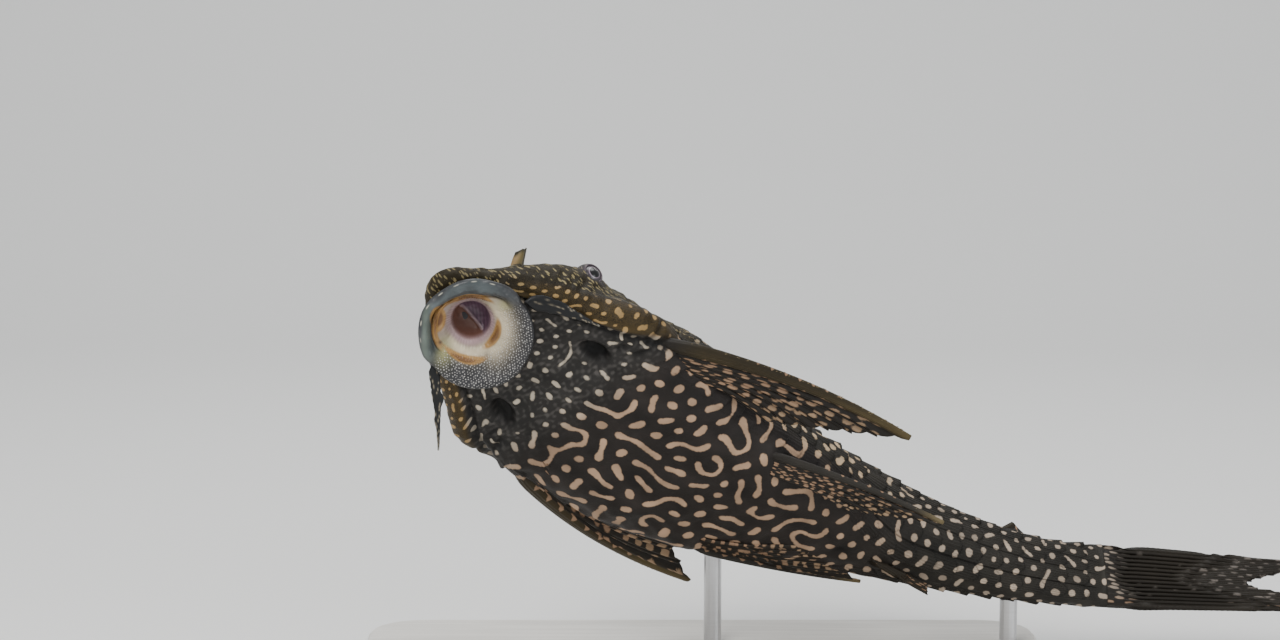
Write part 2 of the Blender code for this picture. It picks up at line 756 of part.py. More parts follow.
def make_disc(material):
    """The sucking lips, open in front as a shallow funnel, with four rows of teeth."""
    rings = disc_rings(DISC_BACK + DISC_FACE)
    start = disc_place(0.0, 0.0, DISC_BACK[0][1], MOUTH_FORWARD)
    end = disc_place(0.0, 0.0, DISC_FLOOR, MOUTH_FORWARD)
    return tube("mouth_disc", rings, start, end, material)


def disc_cutter():
    """The disc filled in front, a gap larger."""
    profile = [(radius, level - GAP) for radius, level in DISC_BACK[:1]] + list(DISC_BACK[1:])
    profile += [(1.0, 0.004)]
    rings = disc_rings(profile, GAP)
    start = disc_place(0.0, 0.0, DISC_BACK[0][1] - GAP, MOUTH_FORWARD)
    end = disc_place(0.0, 0.0, 0.004)
    return tube("disc_cutter", rings, start, end, None)


def tooth_row(angle, radius, level):
    """A curved comb of small teeth on the inside of the lips."""
    count = TEETH_IN_ROW * 2 + 1
    middle = np.empty((2, count, 3))
    thickness = np.empty((2, count))
    for j in range(count):
        w = 2 * j / (count - 1) - 1
        turn = math.radians(angle + TOOTH_ARC / 2 * w)
        tip = TOOTH_LENGTH * (1.0 if j % 2 else 0.55) * (1 - 0.35 * w * w)
        middle[0, j] = disc_place(radius + 0.05, turn, level - 0.0014, MOUTH_FORWARD * 0.80)
        middle[1, j] = disc_place(radius - tip / DISC_RADIUS, turn, level + tip * 0.5, MOUTH_FORWARD * 0.80)
        thickness[0, j] = TOOTH_THICKNESS
        thickness[1, j] = TOOTH_THICKNESS * 0.45
    return sheet("teeth", middle, thickness, None)


def barbel(name, route, material, fork, web):
    """A tapered feeler along a route, broad at its root, with a small side flap part way down."""
    steps = np.linspace(0, 1, BARBEL_RINGS)
    rings = []
    for t in steps:
        centre = route(t)
        ahead = unit(route(min(t + 0.02, 1.0)) - route(max(t - 0.02, 0.0)))
        flat = unit(np.cross(ahead, (0.0, 1.0, 0.0)))
        thin = np.cross(ahead, flat)
        radius = BARBEL_RADIUS * (1 - 0.78 * t)
        flap = fork * math.exp(-((t - 0.42) / 0.10) ** 2)
        ring = []
        for k in range(BARBEL_SIDES):
            turn = 2 * math.pi * k / BARBEL_SIDES
            wide = radius * (1.15 + flap * max(0.0, math.cos(turn))) + web * (1 - t) ** 1.3
            wide *= 0.35 + 0.65 * float(ease(t, 0.0, 0.15))
            ring.append(centre + flat * math.cos(turn) * wide + thin * math.sin(turn) * radius * 0.8)
        rings.append(np.array(ring))
    start = rings[0].mean(0)
    end = route(1.0) + unit(route(1.0) - route(0.96)) * BARBEL_RADIUS
    return tube(name, rings, start, end, material)


def barbel_right_route(t):
    root = disc_place(BARBEL_ROOT[0], math.pi, BARBEL_ROOT[1])
    drop = BARBEL_LENGTH * t
    return root + np.array([-0.0004 + 0.0018 * math.sin(1.9 * t), 0.0004 * t, -drop])


def barbel_left_route(t):
    root = disc_place(BARBEL_ROOT[0], 0.0, BARBEL_ROOT[1])
    share = 0.108 + 0.070 * t
    on_cheek = skin(share, 0.340, 0.0026 + 0.0010 * math.sin(math.pi * t))[0]
    return root + (on_cheek - root) * float(ease(t, -0.15, 0.35)) if t < 0.35 else on_cheek


# Fins


def fan_columns(rays, spine_width, spine_thickness, pleat):
    """Columns of a fan: (share across, outward offset, root and tip thickness, lift)."""
    found = []
    for offset, thickness in ((1.0, 0.45), (0.72, 1.0), (0.28, 1.0), (0.0, 0.42)):
        found.append((0.0, offset * spine_width, thickness * spine_thickness, thickness * 0.0014, 0.0))
    for ray in range(1, rays + 1):
        for place in (-0.72, -0.28):
            found.append(((ray + place) / rays, 0.0, MEMBRANE * 1.3, MEMBRANE * 0.85, -pleat))
        found.append((ray / rays, 0.0, RAY_ROOT, RAY_TIP, pleat))
    return found


def paired_fin(name, form, side, share, girth, spread, lie, fold, curl, material, cutters):
    """A folded fin: a stout spine along its outer edge and pleated rays behind."""
    root = skin(share, girth * side, 0.0)[0]
    _, backward, left, up = directions(share)
    out = left * side
    run = unit(backward * lie[0] + out * lie[1] + up * lie[2])
    across = backward * fold[0] + out * fold[1] + up * fold[2]
    across = unit(across - run * np.dot(across, run))
    face = np.cross(run, across)
    outward = unit(skin(share, girth * side, 0.01)[0] - root)
    sink = ROOT_SINK * form["spine_thickness"]
    columns_ = fan_columns(form["rays"], form["spine_width"], form["spine_thickness"], form["pleat"])
    steps = np.concatenate(([ROOT_STEP], np.linspace(0, 1, form["steps"])))
    middle = np.empty((len(steps), len(columns_), 3))
    thickness = np.empty((len(steps), len(columns_)))
    length = form["length"]
    for j, (f, offset, root_thickness, tip_thickness, lift) in enumerate(columns_):
        angle = math.radians(spread) * f
        heading = run * math.cos(angle) + across * math.sin(angle)
        reach = length * (1 - (1 - form["last"]) * f**0.85)
        reach *= 0.965 if lift < 0 else 1.0
        for i, t in enumerate(steps):
            taper = 1 - 0.62 * max(t, 0)
            point = root + across * form["base"] * f + heading * reach * t
            point = point - across * (offset * taper + form["bow"] * length * max(t, 0) * (1 - t))
            point = point + face * lift * min(1, max(t, 0) * 5) + up * curl * length * max(t, 0) ** 2
            point = point - outward * sink * (1 - float(ease(t, ROOT_STEP, 0.16)))
            middle[i, j] = point
            thickness[i, j] = root_thickness + (tip_thickness - root_thickness) * max(t, 0) ** 0.9
    fin = sheet(name, middle, thickness, material)
    combine(fin, cutters(), "DIFFERENCE")
    return fin


def midline_fin(name, ray_count, roots, lengths, slopes, lean, above, material, cutters, steps=6):
    """A fin of the back or belly, folded back along the body."""
    lean = math.radians(lean)
    positions = []
    for ray in range(ray_count):
        positions.append((ray / (ray_count - 1), True))
        if ray < ray_count - 1:
            positions.append(((ray + 0.5) / (ray_count - 1), False))
    rows = np.concatenate(([ROOT_STEP], np.linspace(0, 1, steps)))
    middle = np.empty((len(rows), len(positions), 3))
    thickness = np.empty((len(rows), len(positions)))
    for j, (f, is_ray) in enumerate(positions):
        start = roots[0] + (roots[1] - roots[0]) * f
        length = lengths[0] + (lengths[1] - lengths[0]) * f
        length *= 1.0 if is_ray else 0.97
        slope = math.radians(slopes[0] + (slopes[1] - slopes[0]) * f)
        first = f == 0
        for i, t in enumerate(rows):
            share = start + length * math.cos(slope) * t
            rise = length * math.sin(slope) * t * STANDARD_LENGTH
            if t < 0:
                share = start
                rise = -FIN_ROOT_DEPTH
            back = float(along(BACK_HEIGHT, share)) * STANDARD_LENGTH
            belly = -float(along(BELLY_SAG, share)) * STANDARD_LENGTH
            leaning = lean * float(ease(t, -0.05, 0.60))
            side = -rise * math.sin(leaning)
            height = back + rise * math.cos(leaning) if above else belly - rise * math.cos(leaning)
            middle[i, j] = locate(share, side, height)
            if is_ray:
                stout = 1.7 if first else 1.0
                thickness[i, j] = stout * (RAY_ROOT + (RAY_TIP - RAY_ROOT) * max(t, 0))
            else:
                thickness[i, j] = MEMBRANE * (1.3 - 0.4 * max(t, 0))
    fin = sheet(name, middle, thickness, material)
    combine(fin, cutters(), "DIFFERENCE")
    return fin


def make_adipose(material, cutters):
    """A short spine near the tail with a small web behind it."""
    start, end, height = ADIPOSE
    rows, count = 4, 4
    middle = np.empty((rows, count, 3))
    thickness = np.empty((rows, count))
    for i in range(rows):
        t = i / (rows - 1)
        for j in range(count):
            f = j / (count - 1)
            root = start + (end - start) * f
            share = root + (0.030 * (1 - f) + 0.004) * t
            rise = height * t * (1 - 0.80 * f) * STANDARD_LENGTH
            back = float(along(BACK_HEIGHT, share)) * STANDARD_LENGTH
            middle[i, j] = locate(share, 0.0, back + rise - 0.003 * (1 - t))
            thickness[i, j] = (0.0030, 0.0016, 0.0010, 0.0009)[j] * (1 - 0.55 * t)
    fin = sheet("adipose_fin", middle, thickness, material)
    combine(fin, cutters(), "DIFFERENCE")
    return fin


def make_caudal(material):
    """The tail fin, half folded, with the lower lobe the longer."""
    top_root = float(along(BACK_HEIGHT, 1.0))
    top_tip, bottom_tip = CAUDAL_TIP_LEVELS
    start = 1.0 + 2 * GAP / STANDARD_LENGTH
    positions = []
    for ray in range(CAUDAL_RAYS):
        positions.append((ray / (CAUDAL_RAYS - 1), True))
        if ray < CAUDAL_RAYS - 1:
            positions.append(((ray + 0.5) / (CAUDAL_RAYS - 1), False))
    steps = np.linspace(0, 1, CAUDAL_STEPS + 1)
    middle = np.empty((len(steps), len(positions), 3))
    thickness = np.empty((len(steps), len(positions)))
    for j, (f, is_ray) in enumerate(positions):
        length = float(along(CAUDAL_LENGTHS, f)) * (1.0 if is_ray else 0.975)
        edge = max(0.0, 1 - 6 * min(f, 1 - f))
        for i, t in enumerate(steps):
            share = start + length * t
            root_level = top_root * (0.985 - 0.97 * f)
            tip_level = top_tip + (bottom_tip - top_tip) * f
            level = root_level + (tip_level - root_level) * float(ease(t * length, 0.0, 0.26))
            pleat = CAUDAL_PLEAT * (1 if is_ray else -1) * float(ease(t, 0.06, 0.25))
            drift = CAUDAL_DRIFT * math.sin(2.2 * t * length / 0.38) * STANDARD_LENGTH
            middle[i, j] = locate(share, pleat + drift, level * STANDARD_LENGTH)
            free = RAY_ROOT * (1.1 + 1.1 * edge) if is_ray else MEMBRANE * 1.2
            tip = RAY_TIP * (1 + 0.4 * edge) if is_ray else MEMBRANE * 0.85
            blade = free + (tip - free) * t
            root = CAUDAL_ROOT_THICKNESS * math.sqrt(max(0.05, 1 - (2 * f - 1) ** 2))
            thickness[i, j] = blade + max(0.0, root - blade) * (1 - float(ease(t, 0.0, 0.16)))
    return sheet("caudal_fin", middle, thickness, material)


# Stand


def make_base(material):
    """A flat rounded plate with a bevelled top edge."""
    width, depth, height = BASE_SIZE
    outline = []
    corners = ((1, 1, 0), (-1, 1, 90), (-1, -1, 180), (1, -1, 270))
    for sx, sy, first in corners:
        for k in range(BASE_CORNER_STEPS + 1):
            turn = math.radians(first + 90 * k / BASE_CORNER_STEPS)
            x = sx * (width / 2 - BASE_CORNER) + BASE_CORNER * math.cos(turn)
            y = sy * (depth / 2 - BASE_CORNER) + BASE_CORNER * math.sin(turn)
            outline.append((x, y))
    rings = []
    for inset, level in ((0.0, 0.0), (0.0, height - BASE_BEVEL), (BASE_BEVEL, height)):
        scale_x = 1 - 2 * inset / width
        scale_y = 1 - 2 * inset / depth
        rings.append(np.array([(x * scale_x, y * scale_y, level) for x, y in outline]))
    return tube("stand_base", rings, (0.0, 0.0, 0.0), (0.0, 0.0, height), material)


def make_rod(name, x, y, top, material, cutters):
    """A round rod from the base up to the fish, cut to its surface."""
    rings = []
    for level in (BASE_SIZE[2] + GAP, top):
        ring = []
        for k in range(ROD_SIDES):
            turn = 2 * math.pi * k / ROD_SIDES
            ring.append((x + ROD_RADIUS * math.cos(turn), y + ROD_RADIUS * math.sin(turn), level))
        rings.append(np.array(ring))
    rod = tube(name, rings, (x, y, BASE_SIZE[2] + GAP), (x, y, top), material)
    combine(rod, cutters(), "DIFFERENCE")
    return rod


def main():
    remove_everything()
    palette = {
        "dark": new_material("dark_skin", (0.030, 0.025, 0.022), 0.45),
        "olive": new_material("olive_skin", (0.075, 0.055, 0.028), 0.45),
        "lips": new_material("lips", (0.16, 0.13, 0.12), 0.40),
        "eye": new_material("eye", (0.01, 0.01, 0.012), 0.08),
        "fins": new_material("fin_skin", (0.045, 0.036, 0.024), 0.45),
        "base": new_material("base_paint", (0.62, 0.61, 0.58), 0.55),
        "rod": new_material("rod_steel", (0.55, 0.55, 0.56), 0.30, 1.0),
    }

    def cut_by_body():
        return [grown_body()]

    head, _, _ = make_body(palette)
    disc = make_disc(palette["lips"])
    combine(disc, [tooth_row(*row) for row in TOOTH_ROWS], "UNION")
    combine(head, [lid(1), lid(-1), nostril_rim(1), nostril_rim(-1)], "UNION")
    sockets = [nostril_pit(1), nostril_pit(-1), disc_cutter()]
    for side, name in ((1, "eye_left"), (-1, "eye_right")):
        centre, _ = eye_frame(side)
        ball(name, centre, EYE_RADIUS, palette["eye"])
        sockets.append(ball("socket", centre, EYE_RADIUS + GAP, None, 20, 14))
    combine(head, sockets, "DIFFERENCE")
    for side in (1, -1):
        combine(nostril_flap(side, palette["olive"]), cut_by_body(), "DIFFERENCE")
    barbel_left = barbel("barbel_left", barbel_left_route, palette["lips"], 0.0, 0.0018)
    barbel_right = barbel("barbel_right", barbel_right_route, palette["lips"], 1.4, 0.0006)
    for item in (barbel_left, barbel_right):
        combine(item, [disc_cutter()], "DIFFERENCE")
    for placing in PAIRED_FINS:
        paired_fin(*placing, palette["fins"], cut_by_body)
    midline_fin(
        "dorsal_fin", DORSAL_RAYS, DORSAL_ROOTS, DORSAL_LENGTHS, DORSAL_SLOPES, DORSAL_LEAN, True,
        palette["fins"], cut_by_body,
    )
    midline_fin(
        "anal_fin", ANAL_RAYS, ANAL_ROOTS, ANAL_LENGTHS, ANAL_SLOPES, 20, False, palette["fins"],
        cut_by_body, 5,
    )
    make_adipose(palette["fins"], cut_by_body)
    make_caudal(palette["fins"])
    make_base(palette["base"])
    for name, x, y, top in ROD_PLACES:
        make_rod(name, x, y, top, palette["rod"], cut_by_body)


main()
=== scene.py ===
"""The finished look of the life-size sailfin pleco on its plain display stand.

One fine skin covers the head, trunk and tail. The lips, teeth, eyes, feelers, nostril flaps and
fins are pieces of their own. Sizes repeat those of the solids, in metres. A share is a distance
from the snout divided by the standard length, and a girth is a share of the half girth, 0 on the
belly line, 1 on the back, and minus on the right side.
"""

import math
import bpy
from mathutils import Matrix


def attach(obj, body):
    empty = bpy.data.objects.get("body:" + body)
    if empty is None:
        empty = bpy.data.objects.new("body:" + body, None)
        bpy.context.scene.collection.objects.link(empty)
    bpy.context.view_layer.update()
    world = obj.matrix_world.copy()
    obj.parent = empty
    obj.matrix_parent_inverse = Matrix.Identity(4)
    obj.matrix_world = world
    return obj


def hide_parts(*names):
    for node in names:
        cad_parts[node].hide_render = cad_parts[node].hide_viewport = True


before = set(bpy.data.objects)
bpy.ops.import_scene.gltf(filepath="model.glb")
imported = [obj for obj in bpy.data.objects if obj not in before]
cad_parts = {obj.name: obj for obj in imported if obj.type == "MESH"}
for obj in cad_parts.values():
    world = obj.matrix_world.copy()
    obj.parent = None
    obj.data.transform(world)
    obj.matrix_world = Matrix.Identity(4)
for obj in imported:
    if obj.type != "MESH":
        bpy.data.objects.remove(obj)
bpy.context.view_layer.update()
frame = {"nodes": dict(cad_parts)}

from types import SimpleNamespace

import bpy
import numpy as np
from mathutils import Vector

# Whole fish
STANDARD_LENGTH = 0.318
SNOUT = (-0.1025, -0.051, 0.170)
COURSE = (
    (0.00, 43, 24, 18),
    (0.12, 46, 21, 21),
    (0.28, 43, 19, 27),
    (0.50, 27, 18, 32),
    (0.70, 20, 11, 36),
    (0.90, 10, 5, 38),
    (1.10, 4, 4, 40),
    (1.45, 2, 4, 40),
)
COURSE_STEPS = 580
HALF_WIDTH = (
    (0.00, 0.054), (0.06, 0.076), (0.12, 0.103), (0.18, 0.124), (0.25, 0.143), (0.33, 0.142),
    (0.42, 0.130), (0.52, 0.108), (0.62, 0.080), (0.74, 0.054), (0.86, 0.036), (0.95, 0.024),
    (1.00, 0.013),
)
BACK_HEIGHT = (
    (0.00, 0.022), (0.05, 0.036), (0.10, 0.066), (0.15, 0.104), (0.20, 0.136), (0.27, 0.164),
    (0.36, 0.190), (0.45, 0.186), (0.55, 0.167), (0.66, 0.141), (0.76, 0.117), (0.86, 0.098),
    (0.94, 0.090), (1.00, 0.094),
)
WIDEST_LEVEL = (
    (0.00, 0.016), (0.15, 0.026), (0.30, 0.036), (0.50, 0.046), (0.70, 0.052), (1.00, 0.050),
)
UPPER_POWER = (
    (0.00, 2.3), (0.15, 2.1), (0.21, 1.80), (0.26, 1.57), (0.32, 1.68), (0.60, 1.7), (0.85, 2.0),
    (1.00, 2.1),
)
LOWER_POWER = ((0.00, 2.6), (0.15, 3.2), (0.45, 2.8), (0.70, 2.3), (1.00, 2.1))
SNOUT_START = 0.0115
SNOUT_ROUNDING = 0.116
BELLY_SAG = ((0.00, 0.0), (0.22, 0.0), (0.40, 0.012), (0.55, 0.006), (0.66, 0.0), (1.00, 0.0))

# Plates of the flanks
NECK_SHARE = 0.262
PLATES = 25
NECK_LEAN = 0.050
LEAN_END = 0.47
TRUNK_BORDERS = (0.335, 0.45, 0.56, 0.68, 0.82, 1.0)
TAIL_BORDERS = (0.06, 0.22, 0.41, 0.60, 0.80, 1.0)
BORDERS_CHANGE = (0.56, 0.74)
PLATE_STEP = 0.0009
PLATE_KEEL = 0.0009
PLATE_SEAM = 0.0004
PLATE_POINT = 0.34
PLATE_TEETH = 9  # points along one plate's rear edge

# Head
EYE_SHARE = 0.154
EYE_GIRTH = 0.60
EYE_RADIUS = 0.0052
EYE_SINK = 0.00155
LID_OPENING = 40  # degrees from the line of sight to the edge of the lids
NOSTRIL_SHARE = 0.076
NOSTRIL_GIRTH = 0.58
NOSTRIL_RADIUS = 0.0014
FLAP_HEIGHT = 0.0072
FLAP_WIDTH = 0.0062
FLAP_STANCES = {1: (1.0, 0.36), -1: (0.80, 0.10)}
# Hills of the head: height in metres, place and width along, then place and width round the girth
HEAD_HILLS = (
    (0.0012, EYE_SHARE, 0.030, EYE_GIRTH + 0.02, 0.055),  # brow
    (0.0034, 0.112, 0.038, 0.57, 0.10),  # bridge from the nostril to the eye
    (-0.0014, 0.240, 0.030, 0.60, 0.12),  # nape
    (0.0056, 0.200, 0.040, 0.40, 0.06),  # gill cover
    (-0.0020, 0.190, 0.040, 0.20, 0.10),  # throat
)
CHEEK_EDGE = (
    (0.05, 0.315), (0.10, 0.300), (0.14, 0.314), (0.19, 0.350), (0.25, 0.400), (0.30, 0.42),
)
GILL_SHARE = 0.207
GILL_GIRTH = 0.222
GILL_LENGTH = 0.030
GILL_WIDTH = 0.058

# Mouth disc
DISC_SHARE = 0.084
DISC_STAND_OFF = 0.0085
DISC_RADIUS = 0.0214
DISC_TOWARDS_PANE = 0.62
DISC_TURN = 6
MOUTH_FORWARD = 0.19
DISC_BACK = ((0.50, -0.0150), (0.56, -0.0085), (0.78, -0.0048), (0.95, -0.0020), (1.00, -0.0009))
DISC_FACE = (
    (0.00, -0.0125), (0.20, -0.0120), (0.30, -0.0098), (0.36, -0.0068), (0.44, -0.0040),
    (0.54, -0.0026), (0.68, -0.0015), (0.82, -0.0005), (0.94, 0.0003), (0.985, 0.0000),
    (1.00, -0.0005),
)
# Rows of teeth: degrees from the left side, place in disc radii, and level in metres
TOOTH_ROWS = (
    (50, 0.52, -0.0027), (134, 0.62, -0.0016), (218, 0.56, -0.0027), (298, 0.44, -0.0036),
)
TOOTH_ARC = 56
TEETH_IN_ROW = 44
TOOTH_LENGTH = 0.0013

# Feelers
BARBEL_LENGTH = 0.033
BARBEL_RADIUS = 0.0014
FEELER_DASHES = 22

# Fins
PECTORAL = {
    "length": 0.102, "spine_width": 0.0078, "spine_thickness": 0.0042, "base": 0.013,
    "rays": 6, "last": 0.50, "pleat": 0.0007, "bow": 0.26,
}
PELVIC = {
    "length": 0.075, "spine_width": 0.0042, "spine_thickness": 0.0026, "base": 0.007,
    "rays": 5, "last": 0.55, "pleat": 0.0006, "bow": 0.12,
}
# Name, form, side, share, girth, spread in degrees, lie of the spine, way it folds, and curl
PAIRED_FINS = (
    ("pectoral_fin_left", PECTORAL, 1, 0.254, 0.37, 6, (0.90, 0.43, -0.02), (0.0, -0.95, 0.15), 0.02),
    (
        "pectoral_fin_right", PECTORAL, -1, 0.270, 0.33, 9,
        (0.98, 0.04, 0.04), (0.0, -0.94, -0.30), 0.14,
    ),
    ("pelvic_fin_left", PELVIC, 1, 0.486, 0.28, 4, (0.97, 0.19, -0.13), (0.0, -0.98, -0.10), 0.02),
    ("pelvic_fin_right", PELVIC, -1, 0.490, 0.26, 14, (0.95, -0.20, 0.04), (0.0, -0.93, -0.25), 0.02),
)
MEMBRANE = 0.0006
RAY_ROOT = 0.0017
RAY_TIP = 0.0008
ROOT_SINK = 1.25  # how deep the root of a paired fin lies in the body, in thicknesses of its spine
DORSAL_ROOTS = (0.365, 0.625)
DORSAL_RAYS = 13
DORSAL_LENGTHS = (0.245, 0.150)
DORSAL_SLOPES = (20, 10)
DORSAL_LEAN = 56
ADIPOSE = (0.855, 0.905, 0.024)
ANAL_ROOTS = (0.690, 0.715)
ANAL_RAYS = 5
ANAL_LENGTHS = (0.090, 0.060)
ANAL_SLOPES = (15, 10)
ANAL_LEAN = 20
CAUDAL_RAYS = 15
CAUDAL_LENGTHS = ((0.0, 0.285), (0.14, 0.260), (0.5, 0.190), (0.86, 0.330), (1.0, 0.380))
CAUDAL_ROOT_THICKNESS = 0.0062
CAUDAL_TIP_LEVELS = (0.078, 0.000)

# Fineness of the meshes
NOSE_ROWS = 130
BODY_ROWS = 620
AROUND = 400
DISC_AROUND = 560
DISC_ROWS = 165
FIN_ROWS = 90
RAY_COLUMNS = 10
SPINE_COLUMNS = 26
DISC_BACK_ROWS = (0.995, 0.97, 0.90, 0.80, 0.70, 0.62, 0.56, 0.52)
KNOB_STEPS = 620
MARK_ROWS = 720

# Markings
MARK_SPACING = (
    (0.00, 0.0046), (0.18, 0.0054), (0.25, 0.0066), (0.32, 0.0072), (0.58, 0.0070), (0.75, 0.0060),
    (1.02, 0.0054),
)
CHEEK_FINENESS = 0.62  # of the spacing elsewhere
MARK_COVERS = (0.240, 0.115, 0.20, 0.165, 0.24)  # belly, head, cheek, tail and flank

# Colours
BELLY_GROUND = (0.0150, 0.0118, 0.0105)
BELLY_PALE = (0.365, 0.240, 0.155)
THROAT_GROUND = (0.0230, 0.0210, 0.0195)
THROAT_PALE = (0.430, 0.370, 0.290)
CHEEK_GROUND = (0.0520, 0.0340, 0.0110)
CHEEK_PALE = (0.330, 0.210, 0.082)
CROWN_GROUND = (0.0215, 0.0158, 0.0064)
CROWN_PALE = (0.205, 0.165, 0.078)
FLANK_GROUND = (0.0165, 0.0145, 0.0115)
FLANK_PALE = (0.420, 0.310, 0.195)
TAIL_PALE = (0.330, 0.265, 0.205)
SPINE_OLIVE = (0.0300, 0.0215, 0.0085)
FIN_GROUND = (0.0130, 0.0105, 0.0085)
FIN_PALE = (0.270, 0.165, 0.100)
CAUDAL_PALE = (0.105, 0.090, 0.078)
LIP_BLUE_SHEEN = (0.062, 0.074, 0.078)
LIP_GREY = (0.030, 0.030, 0.033)
LIP_CREAM = (0.480, 0.410, 0.290)
PAPILLA_WHITE = (0.600, 0.580, 0.550)
GUM_GOLD = (0.290, 0.165, 0.055)
GUM_BROWN = (0.120, 0.055, 0.022)
MOUTH_PINK = (0.330, 0.235, 0.240)
MOUTH_PURPLE = (0.072, 0.040, 0.060)
MOUTH_MAROON = (0.115, 0.054, 0.040)
LIP_OLIVE = (0.120, 0.150, 0.120)
LIP_TAN = (0.290, 0.225, 0.195)
LIP_TINGE = (0.330, 0.320, 0.130)
LIP_GROOVE_SHADE = (0.030, 0.022, 0.017)
LIP_STRIPE = (0.560, 0.540, 0.440)
LIP_SPOT = (0.060, 0.040, 0.030)
RIDGE_HIGHLIGHT_PINK = (0.260, 0.190, 0.200)
TOOTH_ROOT = (0.230, 0.135, 0.050)
TOOTH_TIP = (0.110, 0.045, 0.016)
IRIS_DARK = (0.022, 0.018, 0.024)
IRIS_MAUVE = (0.080, 0.060, 0.074)
IRIS_RING = (0.400, 0.320, 0.380)
IRIS_BORDER = (0.018, 0.016, 0.020)
PUPIL_BLACK = (0.0015, 0.0015, 0.002)
FLAP_EDGE_HIGHLIGHT = (0.620, 0.580, 0.560)
LID_TONE = (0.045, 0.038, 0.040)
LID_DARK = (0.026, 0.022, 0.024)
LID_GREY = (0.062, 0.052, 0.056)
LID_FLECK = (0.270, 0.235, 0.200)
LID_EDGE = (0.085, 0.064, 0.078)
FLAP_SKIN = (0.110, 0.090, 0.040)
FLAP_BORDER = (0.030, 0.026, 0.016)
FLAP_TAN = (0.330, 0.220, 0.100)
FEELER_SKIN = (0.0062, 0.0066, 0.0074)
FEELER_DASH = (0.230, 0.195, 0.140)
FEELER_TIP = (0.200, 0.190, 0.160)
SPINE_TIP_OLIVE = (0.085, 0.062, 0.024)
SPINE_DARK = (0.024, 0.021, 0.017)
SPINE_TIP_TAN = (0.120, 0.092, 0.045)
FIN_TIP_PALE = (0.300, 0.200, 0.120)
BRISTLE_HORN = (0.20, 0.15, 0.07)
LACQUER_DARK = (0.60, 0.58, 0.54)
LACQUER_PALE = (0.71, 0.69, 0.65)
STEEL_DARK = (0.48, 0.48, 0.49)
STEEL_PALE = (0.66, 0.66, 0.67)
STAGE_PALE = (0.80, 0.80, 0.79)
STUDIO_AIR = (0.90, 0.93, 0.96)

# Camera, as the photograph was taken
CAMERA_TARGET = (-0.025, -0.055, 0.155)
CAMERA_ELEVATION = 8
CAMERA_DISTANCE = 1.10
CAMERA_LENS = 85
CAMERA_SENSOR = 36

# Stage
STAGE_FRONT = -4.5
STAGE_BEND = 0.9  # where the floor starts to rise
STAGE_BEND_RADIUS = 0.6
STAGE_TOP = 2.4
LIT_PLACE = (0.03, 0.0, 0.10)
# Lights: name, place, size, power and colour
LIGHTS = (
    ("key", (-0.55, -0.95, 1.10), (0.75, 0.6), 19, (1.0, 0.985, 0.96)),
    ("fill", (1.05, -0.95, 0.45), (0.9, 0.7), 7, (0.95, 0.98, 1.0)),
    ("top", (0.1, 0.35, 1.35), (1.2, 0.8), 13, (1, 1, 1)),
)


# Curves and frames


def along(table, share):
    """A value read from a table of (share, value) on a curve that doesn't overshoot."""
    stops, values = np.array(table, float).T
    share = np.clip(share, stops[0], stops[-1])
    widths = np.diff(stops)
    rises = np.diff(values) / widths
    slopes = np.concatenate((rises[:1], (rises[1:] + rises[:-1]) / 2, rises[-1:]))
    turns = rises[1:] * rises[:-1] <= 0
    slopes[1:-1][turns] = 0
    index = np.clip(np.searchsorted(stops, share, side="right") - 1, 0, len(widths) - 1)
    t = (share - stops[index]) / widths[index]
    start = values[index] * (1 + 2 * t) * (1 - t) ** 2
    end = values[index + 1] * t * t * (3 - 2 * t)
    lead = slopes[index] * widths[index] * t * (1 - t) ** 2
    trail = slopes[index + 1] * widths[index] * t * t * (t - 1)
    return start + end + lead + trail


def ease(value, start, end):
    """0 before start, 1 after end, smooth between."""
    t = np.clip((np.asarray(value, float) - start) / (end - start), 0, 1)
    return t * t * (3 - 2 * t)


def bump(value, middle, width):
    """A soft hill, 1 at the middle."""
    return np.exp(-(((value - middle) / width) ** 2))


def unit(vector):
    return vector / np.maximum(np.linalg.norm(vector, axis=-1, keepdims=True), 1e-12)


def mixed(low, high, share):
    """Two colours or values mixed by an array of shares."""
    share = np.asarray(share)[..., None]
    return np.asarray(low) * (1 - share) + np.asarray(high) * share


def lay_course():
    """The belly line from snout to tail tip, with its backward, left and up directions."""
    shares = np.linspace(0, COURSE[-1][0], COURSE_STEPS + 1)
    angles = []
    for column in (1, 2, 3):
        angles.append(np.radians(along([(row[0], row[column]) for row in COURSE], shares)))
    down, away, roll = angles
    level = np.cos(away)
    backward = np.stack((np.cos(down) * level, np.sin(away), -np.sin(down) * level), -1)
    across = np.stack((np.sin(down), np.zeros_like(down), np.cos(down)), -1)
    deep = np.cross(across, backward)
    cos_roll = np.cos(roll)[:, None]
    sin_roll = np.sin(roll)[:, None]
    left = cos_roll * across - sin_roll * deep
    up = cos_roll * deep + sin_roll * across
    step = STANDARD_LENGTH * COURSE[-1][0] / COURSE_STEPS
    moves = (backward[1:] + backward[:-1]) / 2 * step
    places = np.array(SNOUT) + np.concatenate((np.zeros((1, 3)), np.cumsum(moves, 0)))
    return shares, places, backward, left, up


COURSE_LINE = lay_course()


def directions(share):
    """The belly line's place and its backward, left and up directions at each share."""
    shares = COURSE_LINE[0]
    share = np.asarray(share, float)
    found = []
    for values in COURSE_LINE[1:]:
        found.append(np.stack([np.interp(share, shares, values[:, k]) for k in range(3)], -1))
    place, backward, left, up = found
    return place, unit(backward), unit(left), unit(up)


def locate(share, side, height):
    """World places from shares along, metres to the left, and metres up from the belly line."""
    place, _, left, up = directions(share)
    side = np.asarray(side, float)[..., None]
    height = np.asarray(height, float)[..., None]
    return place + left * side + up * height


# Body form


